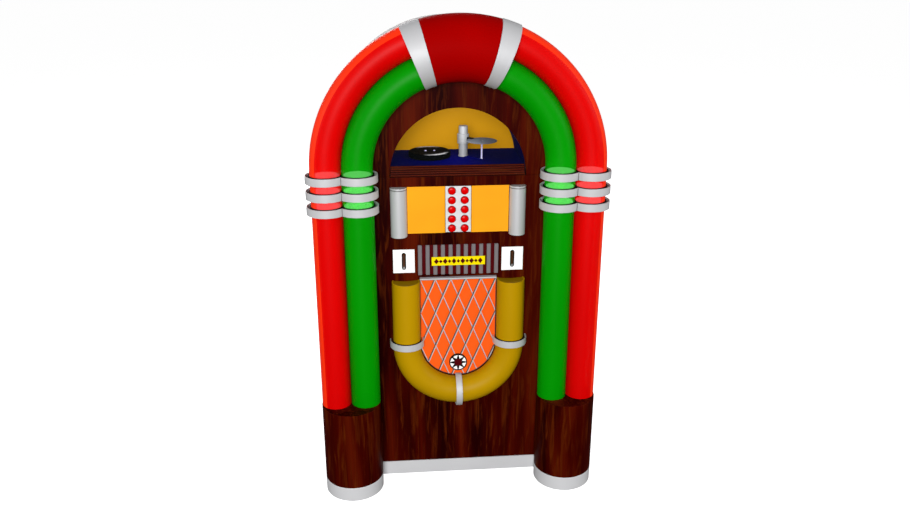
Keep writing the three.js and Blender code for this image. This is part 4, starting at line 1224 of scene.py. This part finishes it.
class JUKEBOX_OT_chamber(bpy.types.Operator):
    """Build the record chamber: sill, deck, lining, backdrop and glass"""

    bl_idname = "jukebox.chamber"
    bl_label = "Record chamber"

    def execute(self, context):
        low, high = corners("chamber_sill")
        count, depth = 5, 3.0
        rise = (high.z - low.z) / count
        stairs, beads = [], bmesh.new()
        for k in range(count):
            y, z = low.y + k * depth, low.z + k * rise
            stairs += [(y, z + 1), (y, z + rise - 1.2), (y + 2, z + rise - 1.2), (y + 2, z + rise)]
            stairs += [(y + depth, z + rise), (y + depth, z + rise + 1)]
            z = low.z + (k + 1) * rise
            block(beads, (low.x + 0.3, y - 0.8, z - 3.2), (high.x - 0.3, y + 1, z - 1.3), 0.6)
        stairs = [(low.y, low.z)] + stairs[1:-2] + [(high.y, high.z), (high.y, low.z)]
        bm = bmesh.new()
        edges = chain(bm, [(low.x, y, z) for y, z in stairs], close=True)[1]
        bmesh.ops.contextual_create(bm, geom=edges)
        drawn_out(bm, bm.faces[:], (high.x - low.x, 0, 0))
        # The beads along the steps' edges are in lighter mahogany: painted highlight.
        part("sill_beads", beads, "Worn mahogany edge")
        part("window_sill", bm, "Red-stained mahogany", "chamber_sill")
        box_piece("chamber_floor", *corners("chamber_deck"), 0.8, "Navy enamel", "navy_paint", "chamber_deck")

        low, high = corners("chamber_liner")
        base, inner = (0, low.z), high.x - 4
        bm = board(arc(high.x, 0, 180, 64, base) + arc(inner, 180, 0, 64, base), low.y, high.y, bevel=0.5)
        part("chamber_barrel", bm, "Navy enamel", "chamber_liner")
        # The backdrop glows: painted light.
        bm = board(arc(inner - 0.2, 0, 180, 64, base), high.y - 4, high.y - 0.2, bevel=0.4)
        part("chamber_backdrop", bm, "Backdrop lacquer", "chamber_liner")
        low, high = corners("window_glass")
        bm = board(arc(high.x, 0, 180, 72, (0, low.z)), low.y, high.y, bevel=0.3)
        part("window_pane", bm, "Float glass", "window_glass")
        return {"FINISHED"}


class JUKEBOX_OT_turntable(bpy.types.Operator):
    """Turn the platter, its record and the motor under the deck"""

    bl_idname = "jukebox.turntable"
    bl_label = "Turntable"

    def execute(self, context):
        low, high = corners("platter")
        disc_low, disc_high = corners("record")
        (x, y, _), r, deck = centre_of("platter"), radius_of("platter"), corners("chamber_deck")[1].z
        bottom, lid = disc_low.z, disc_high.z
        top = bottom - 0.4
        profile = [(0, low.z), (5, low.z), (5, deck + 2), (r - 2, deck + 2), (r, deck + 4), (r, deck + 9)]
        profile += [(r - 0.8, deck + 9.6), (r - 0.8, deck + 10.6), (r, deck + 11.2), (r, top - 1.2)]
        profile += [(r - 1.2, top), (3, top), (3, high.z - 1.5), (1.8, high.z), (0, high.z)]
        vinyl = ("Black phenolic", "black_vinyl", "platter", "turntable")
        lathe("platter_turned", profile, (x, y, 0), *vinyl, steps=80)
        r = radius_of("record")
        profile = [(3.4, bottom), (r - 0.8, bottom), (r, bottom + 0.8), (r - 0.8, lid), (r - 4, lid - 0.3)]
        profile += [(24, lid - 0.3), (23, lid), (3.4, lid), (3.4, bottom)]
        vinyl = ("Black pressed vinyl", "black_vinyl", "record", "turntable")
        lathe("record_disc", profile, (x, y, 0), *vinyl, steps=80)
        bm = bmesh.new()
        # Two pale studs on the record's label, in glowing plastic: painted highlight.
        for place in (-13, 15):
            bead(bm, 3.6, (1, 1, 0.45), (x + place, y - 2, lid + 0.4))
        part("record_studs", bm, "Lavender plastic", body="turntable")
        low, high = corners("turntable_motor")
        flange, hole = radius_of("turntable_motor"), 5.8
        profile = [(hole, low.z), (38, low.z), (40, low.z + 2), (40, high.z - 4), (flange, high.z - 4)]
        profile = rounded(profile + [(flange, high.z), (hole, high.z)], 1) + [(hole, low.z)]
        lathe("turntable_drive", profile, (x, y, 0), "Grey cast steel", "grey_steel", "turntable_motor")
        return {"FINISHED"}


class JUKEBOX_OT_changer(bpy.types.Operator):
    """Build the record changer: pillar, waiting spindle, lifting collar and gripper arm with its record"""

    bl_idname = "jukebox.changer"
    bl_label = "Record changer"

    def execute(self, context):
        base, top = (corner.z for corner in corners("transfer_pillar"))
        (x, y, _), (dx, dy, _) = centre_of("lift_collar"), centre_of("held_record")
        reach, aim = math.hypot(dx - x, dy - y), math.degrees(math.atan2(dy - y, dx - x))
        centre, r = (x, y, 0), 14.2

        def aimed(bm, verts):
            """Brings what is drawn along X from the origin to the pillar, pointing at the waiting record."""
            bmesh.ops.translate(bm, vec=centre, verts=verts)
            turned(bm, verts, aim, centre, "Z")

        profile = [(0, base), (r + 1.2, base), (r + 1.2, base + 4), (r, base + 4.6), (r, top - 5)]
        profile += [(r - 0.6, top - 4.6), (r - 0.6, top - 3.8), (r, top - 3.4), (r, top), (0, top)]
        zinc = ("Cast zinc", "pillar_metal", "transfer_pillar")
        lathe("changer_pillar", rounded(profile, 0.8, 2), centre, *zinc)
        bm = bmesh.new()
        aimed(bm, block(bm, (0, -9, base), (reach, 9, base + 2.5), 0.6))
        part("changer_foot", bm, "Navy enamel", "transfer_pillar")
        post = base + 49
        profile = [(0, base + 2), (3.2, base + 2), (3.2, base + 4), (2.7, base + 5), (2.7, post - 2)]
        # The spindle's lavender plastic glows a little: painted light.
        plastic = ("Lavender plastic", "pillar_metal", "transfer_pillar")
        lathe("changer_spindle", profile + [(1.6, post), (0, post)], (dx, dy, 0), *plastic, steps=32)
        inner, outer = r + 0.4, radius_of("lift_collar")
        a, b = (corner.z for corner in corners("lift_collar"))
        profile = [(inner, a), (outer - 0.5, a), (outer, a + 0.5), (outer, b - 0.5), (outer - 0.5, b)]
        profile += [(inner, b), (inner, a)]
        lathe("changer_collar", profile, centre, "Cast zinc", "grey_steel", "lift_collar")
        a, b = (corner.z for corner in corners("gripper_arm"))
        profile = [(inner, a), (outer - 0.6, a), (outer, a + 0.6), (outer, a + 7), (outer - 1, a + 7.4)]
        profile += [(outer - 1, a + 8.4), (outer, a + 8.8), (outer, b - 0.6), (outer - 0.6, b)]
        profile += [(inner, b), (inner, a)]
        lathe("changer_arm_ring", profile, centre, "Cast zinc", "grey_steel", "gripper_arm", "transfer_arm")
        a, b = (corner.z for corner in corners("held_record"))
        r = radius_of("held_record")
        edge = reach - r
        bm = bmesh.new()
        claw = block(bm, (outer - 2, -4, a - 4), (edge + 1, 4, a + 6), 0.8)
        for low, high in ((a - 3, a - 0.4), (a + 2.0, a + 5)):
            claw += block(bm, (edge - 6, -7, low), (edge + 12, 7, high), 0.7)
        claw += block(bm, (edge - 6, -7, a - 3), (edge - 0.6, 7, a + 5), 0.7)
        aimed(bm, claw)
        part("changer_arm", bm, "Blackened steel", "gripper_arm", "transfer_arm")
        profile = [(4.2, a), (r - 0.8, a), (r, a + 0.8), (r - 0.8, b), (r - 3, b - 0.2)]
        profile += [(18, b - 0.2), (17, b), (4.2, b), (4.2, a)]
        vinyl = ("Slate pressed vinyl", "silver_vinyl", "held_record", "transfer_arm")
        lathe("changer_record", profile, (dx, dy, 0), *vinyl, steps=80)
        return {"FINISHED"}


class JUKEBOX_OT_coin_mechanism(bpy.types.Operator):
    """Fold the coin mechanism's case with its chutes"""

    bl_idname = "jukebox.coin_mechanism"
    bl_label = "Coin mechanism"

    def execute(self, context):
        low, high = corners("coin_mechanism")
        holes = []
        for side, _ in SIDES:
            x, _, z = centre_of("coin_plate_" + side)
            holes.append(rectangle(x - 6, z - 28, x + 6, z + 28))
        chutes, screws = low.y + 40, 6
        bm = board(front_of("coin_mechanism"), low.y, chutes, holes, 0.8)
        block(bm, (low.x, chutes + 0.2, low.z), high, 1.5)
        for k in range(screws):
            x = low.x + 30 + k * (high.x - low.x - 60) / (screws - 1)
            for z in (low.z + 10, high.z - 10):
                profile = [(0, high.y), (4, high.y), (3.2, high.y + 1.6), (0, high.y + 2)]
                revolve(bm, profile, (x, 0, z), "Y", 16)
        part("coin_case", bm, "Grey cast steel", "coin_mechanism")
        return {"FINISHED"}


class JUKEBOX_OT_amplifier(bpy.types.Operator):
    """Build the valve amplifier: chassis, transformers, valves and knobs"""

    bl_idname = "jukebox.amplifier"
    bl_label = "Amplifier"

    def execute(self, context):
        low, high = corners("amplifier")
        deck, y = low.z + 60, centre_of("amplifier")[1]
        ends = low, (high.x, high.y, deck)
        box_piece("amplifier_chassis", *ends, 2, "Grey cast steel", "grey_steel", "amplifier")
        bm, coils = bmesh.new(), bmesh.new()
        for x in (-110, -50):
            for k in range(12):
                a, b = x - 24 + k * 4, x - 20.6 + k * 4
                block(bm, (a, y - 30, deck + 0.1), (b, y + 30, deck + 58), 0.3, 1)
            block(coils, (x - 20, y - 26, deck + 12), (x + 20, y + 26, deck + 60), 5, 3)
        part("transformer_stacks", bm, "Blackened steel", "amplifier")
        part("transformer_coils", coils, "Copper winding")
        glass, metal = bmesh.new(), bmesh.new()
        profile = [(0, 12), (13, 12), (15.5, 22), (15.5, 56), (12, 66), (3, 70), (0, 70)]
        for x in (20, 65, 110):
            revolve(glass, [(r, deck + z) for r, z in profile], (x, y, 0), steps=32)
            revolve(metal, rounded(disc(16, deck, deck + 11), 1), (x, y, 0), steps=32)
            revolve(metal, rounded(disc(7, deck + 12.5, deck + 54), 1), (x, y, 0), steps=24)
        part("valve_envelopes", glass, "Valve glass", "amplifier")
        part("valve_innards", metal, "Blackened steel", "amplifier")
        bm = bmesh.new()
        for x in (-90, -30, 30, 90):
            profile = [(0, high.y), (12, high.y), (10, high.y + 9), (0, high.y + 9)]
            revolve(bm, rounded(profile, 1.5), (x, 0, low.z + 30), "Y", 32)
        part("amplifier_knobs", bm, "Black plastic")
        return {"FINISHED"}


class JUKEBOX_OT_back_door(bpy.types.Operator):
    """Hang the back door with its vents, knuckles and lock"""

    bl_idname = "jukebox.back_door"
    bl_label = "Back door"

    def execute(self, context):
        low, high = corners("back_door")
        radius, front = corners("cabinet_shell")[1].x, high.y - CABINET_BOARD
        holes = [rectangle(x, z, x + 100, z + 12) for z in range(640, 820, 34) for x in (-118, 18)]
        a, b = corners("mains_inlet")
        holes.append(rectangle(a.x - 2, b.z - 36, b.x + 2, b.z + 2))
        outline = [(-radius, low.z), (radius, low.z)] + arc(radius, 0, 180, 64, (0, spring_line()))
        bm = board(outline, front, high.y, holes, 0.8)
        part("door_leaf", bm, "Stained mahogany", "back_door", "service_door")
        hinge = corners("door_hinge")
        x, y, pin = hinge[0].x + 4.5, front - 0.2, 1.6
        step = (hinge[1].z - hinge[0].z) / 5

        def knuckle(bm, k, hole):
            """One knuckle of the hinge. Gives back its ends."""
            a, b = hinge[0].z + k * step + 0.4, hinge[0].z + (k + 1) * step - 0.4
            profile = [(hole, a), (4.1, a), (4.5, a + 0.4), (4.5, b - 0.4), (4.1, b), (hole, b), (hole, a)]
            revolve(bm, profile, (x, y, 0), steps=32)
            return a, b

        bm = bmesh.new()
        for k in (1, 3):
            a, b = knuckle(bm, k, 2.0)
            block(bm, (x + 3.2, y + 1, a), (x + 5.9, high.y - 2, b), 0.4)
        part("door_knuckles", bm, "Grey cast steel", "back_door", "service_door")
        bm = bmesh.new()
        for k in (0, 2, 4):
            a, b = knuckle(bm, k, pin)
            block(bm, (x + 2.4, y - 40, a), (x + 4.5, y - 1, b), 0.4)
            for z in (a + 20, (a + b) / 2, b - 20):
                screw = [(0, x + 2.4), (3.4, x + 2.4), (2.6, x + 1.6), (0, x + 1.3)]
                revolve(bm, screw, (0, y - 24, z), "X", 16)
        revolve(bm, disc(pin, hinge[0].z, hinge[1].z), (x, y, 0), steps=20)
        part("hinge_knuckles", bm, "Grey cast steel", "door_hinge")
        profile = rounded(disc(14, high.y - 1, high.y - 0.2), 0.5)
        zinc, place = ("Cast zinc", "grey_steel"), (radius - 45, 0, 760)
        lathe("door_lock_plate", profile, place, *zinc, body="service_door", axis="Y", steps=40)
        return {"FINISHED"}


class JUKEBOX_OT_inlet(bpy.types.Operator):
    """Mould the mains inlet with its pins"""

    bl_idname = "jukebox.inlet"
    bl_label = "Mains inlet"

    def execute(self, context):
        low, high = corners("mains_inlet")
        x, z, y = centre_of("mains_inlet")[0], high.z - 17, high.y
        socket = rectangle(x - 13, z - 9, x + 13, z + 9)
        bm = board(rectangle(low.x, z - 17, high.x, high.z), y - 18, y, [socket], 0.8)
        block(bm, (low.x, low.y, z - 17), (high.x, y - 18.2, high.z), 1)
        block(bm, (x - 20, low.y, low.z), (x + 20, low.y + 30, z - 16), 1)
        part("inlet_body", bm, "Black plastic", "mains_inlet")
        bm = bmesh.new()
        for dx, up in ((-7, -1), (0, 2), (7, -1)):
            block(bm, (x + dx - 1, y - 18.4, z - 2 + up), (x + dx + 1, y - 4, z + 2 + up), 0.4)
        part("inlet_pins", bm, "Cast zinc")
        return {"FINISHED"}


class JUKEBOX_OT_studio(bpy.types.Operator):
    """Lay the floor and set the lights, the world and the camera"""

    bl_idname = "jukebox.studio"
    bl_label = "Studio"

    def execute(self, context):
        scene = context.scene
        bm = bmesh.new()
        bmesh.ops.create_circle(bm, cap_ends=True, segments=96, radius=40)
        mesh = bpy.data.meshes.new("studio_floor")
        bm.to_mesh(mesh)
        bm.free()
        floor = bpy.data.objects.new("studio_floor", mesh)
        scene.collection.objects.link(floor)
        tree, shader = new_material("White studio paper", linear("#ffffff"), 0.9, Emission_Strength=0.75)
        bump(tree, shader, noise(tree, 60), 0.0002, 0.05)
        mesh.materials.append(bpy.data.materials["White studio paper"])
        floor.visible_diffuse = floor.visible_glossy = False

        world = bpy.data.worlds.new("Studio")
        scene.world = world
        world.use_nodes = True
        tree = world.node_tree
        # The backdrop is plain white, and dimmer as a light, most of all from below, so that the lamps
        # shape the pieces.
        seen = add_node(tree, "ShaderNodeLightPath").outputs["Is Camera Ray"]
        direction = add_node(tree, "ShaderNodeTexCoord").outputs["Generated"]
        height = add_node(tree, "ShaderNodeSeparateXYZ", {"Vector": direction}).outputs["Z"]
        dim = map_range(tree, height, -0.5, 0.3, 0.05, 0.24)
        sky = {"Color": (1, 1, 1, 1), "Strength": map_range(tree, seen, 0, 1, dim, 1.05)}
        feed(tree, tree.nodes["Background"], sky)

        ahead, changer = (0, 0, 0.8), (0, 0.083, 1.1)
        for name, place, aim, energy, width in (
            ("key", (-0.7, -4.8, 2.1), ahead, 214, 1.6),
            ("fill_right", (3.4, -1.2, 2.2), ahead, 42, 2.0),
            ("fill_left", (-3.4, -0.6, 2.0), ahead, 28, 2.0),
            ("rear", (-0.8, 4.4, 2.2), ahead, 95, 2.4),
            ("chamber", (0.0, -0.125, 1.2), changer, 0.26, 0.12),
        ):
            lamp = bpy.data.lights.new(name, "AREA")
            lamp.energy, lamp.size = energy, width
            holder = bpy.data.objects.new(name, lamp)
            holder.location = place
            holder.rotation_euler = (Vector(aim) - Vector(place)).to_track_quat("-Z", "Y").to_euler()
            scene.collection.objects.link(holder)

        lens = bpy.data.cameras.new("camera")
        lens.sensor_width, lens.lens = 36, 33.34
        eye = bpy.data.objects.new("camera", lens)
        eye.location = (-0.2202, -2.6445, 1.6745)
        eye.rotation_euler = (math.radians(70.31), 0, math.radians(-4.847))
        scene.collection.objects.link(eye)
        scene.camera = eye
        scene.view_settings.view_transform = "Standard"
        return {"FINISHED"}


PIECES = (
    JUKEBOX_OT_finishes,
    JUKEBOX_OT_shell,
    JUKEBOX_OT_front_boards,
    JUKEBOX_OT_base,
    JUKEBOX_OT_light_tubes,
    JUKEBOX_OT_clasps,
    JUKEBOX_OT_crown,
    JUKEBOX_OT_gold_tube,
    JUKEBOX_OT_gold_rings,
    JUKEBOX_OT_grille,
    JUKEBOX_OT_rosette,
    JUKEBOX_OT_speaker,
    JUKEBOX_OT_selector,
    JUKEBOX_OT_columns,
    JUKEBOX_OT_louvre,
    JUKEBOX_OT_coin_plates,
    JUKEBOX_OT_chamber,
    JUKEBOX_OT_turntable,
    JUKEBOX_OT_changer,
    JUKEBOX_OT_coin_mechanism,
    JUKEBOX_OT_amplifier,
    JUKEBOX_OT_back_door,
    JUKEBOX_OT_inlet,
    JUKEBOX_OT_studio,
)


class JUKEBOX_PT_panel(bpy.types.Panel):
    """Lists the jukebox's sizes, colours and pieces"""

    bl_idname = "JUKEBOX_PT_panel"
    bl_label = "Jukebox"
    bl_space_type = "VIEW_3D"
    bl_region_type = "UI"
    bl_category = "Jukebox"

    def draw(self, context):
        layout = self.layout
        for title, group in (("Sizes", context.scene.jukebox_sizes), ("Colours", context.scene.jukebox_colours)):
            box = layout.box()
            box.label(text=title)
            for name in group.__annotations__:
                box.prop(group, name)
        for piece in PIECES:
            layout.operator(piece.bl_idname)


CLASSES = (JukeboxSizes, JukeboxColours, *PIECES, JUKEBOX_PT_panel)


def register():
    for cls in CLASSES:
        bpy.utils.register_class(cls)
    bpy.types.Scene.jukebox_sizes = PointerProperty(type=JukeboxSizes)
    bpy.types.Scene.jukebox_colours = PointerProperty(type=JukeboxColours)


def unregister():
    del bpy.types.Scene.jukebox_colours
    del bpy.types.Scene.jukebox_sizes
    for cls in reversed(CLASSES):
        bpy.utils.unregister_class(cls)


def main():
    register()
    for piece in PIECES:
        group, name = piece.bl_idname.split(".")
        getattr(getattr(bpy.ops, group), name)()


if __name__ == "__main__":
    main()
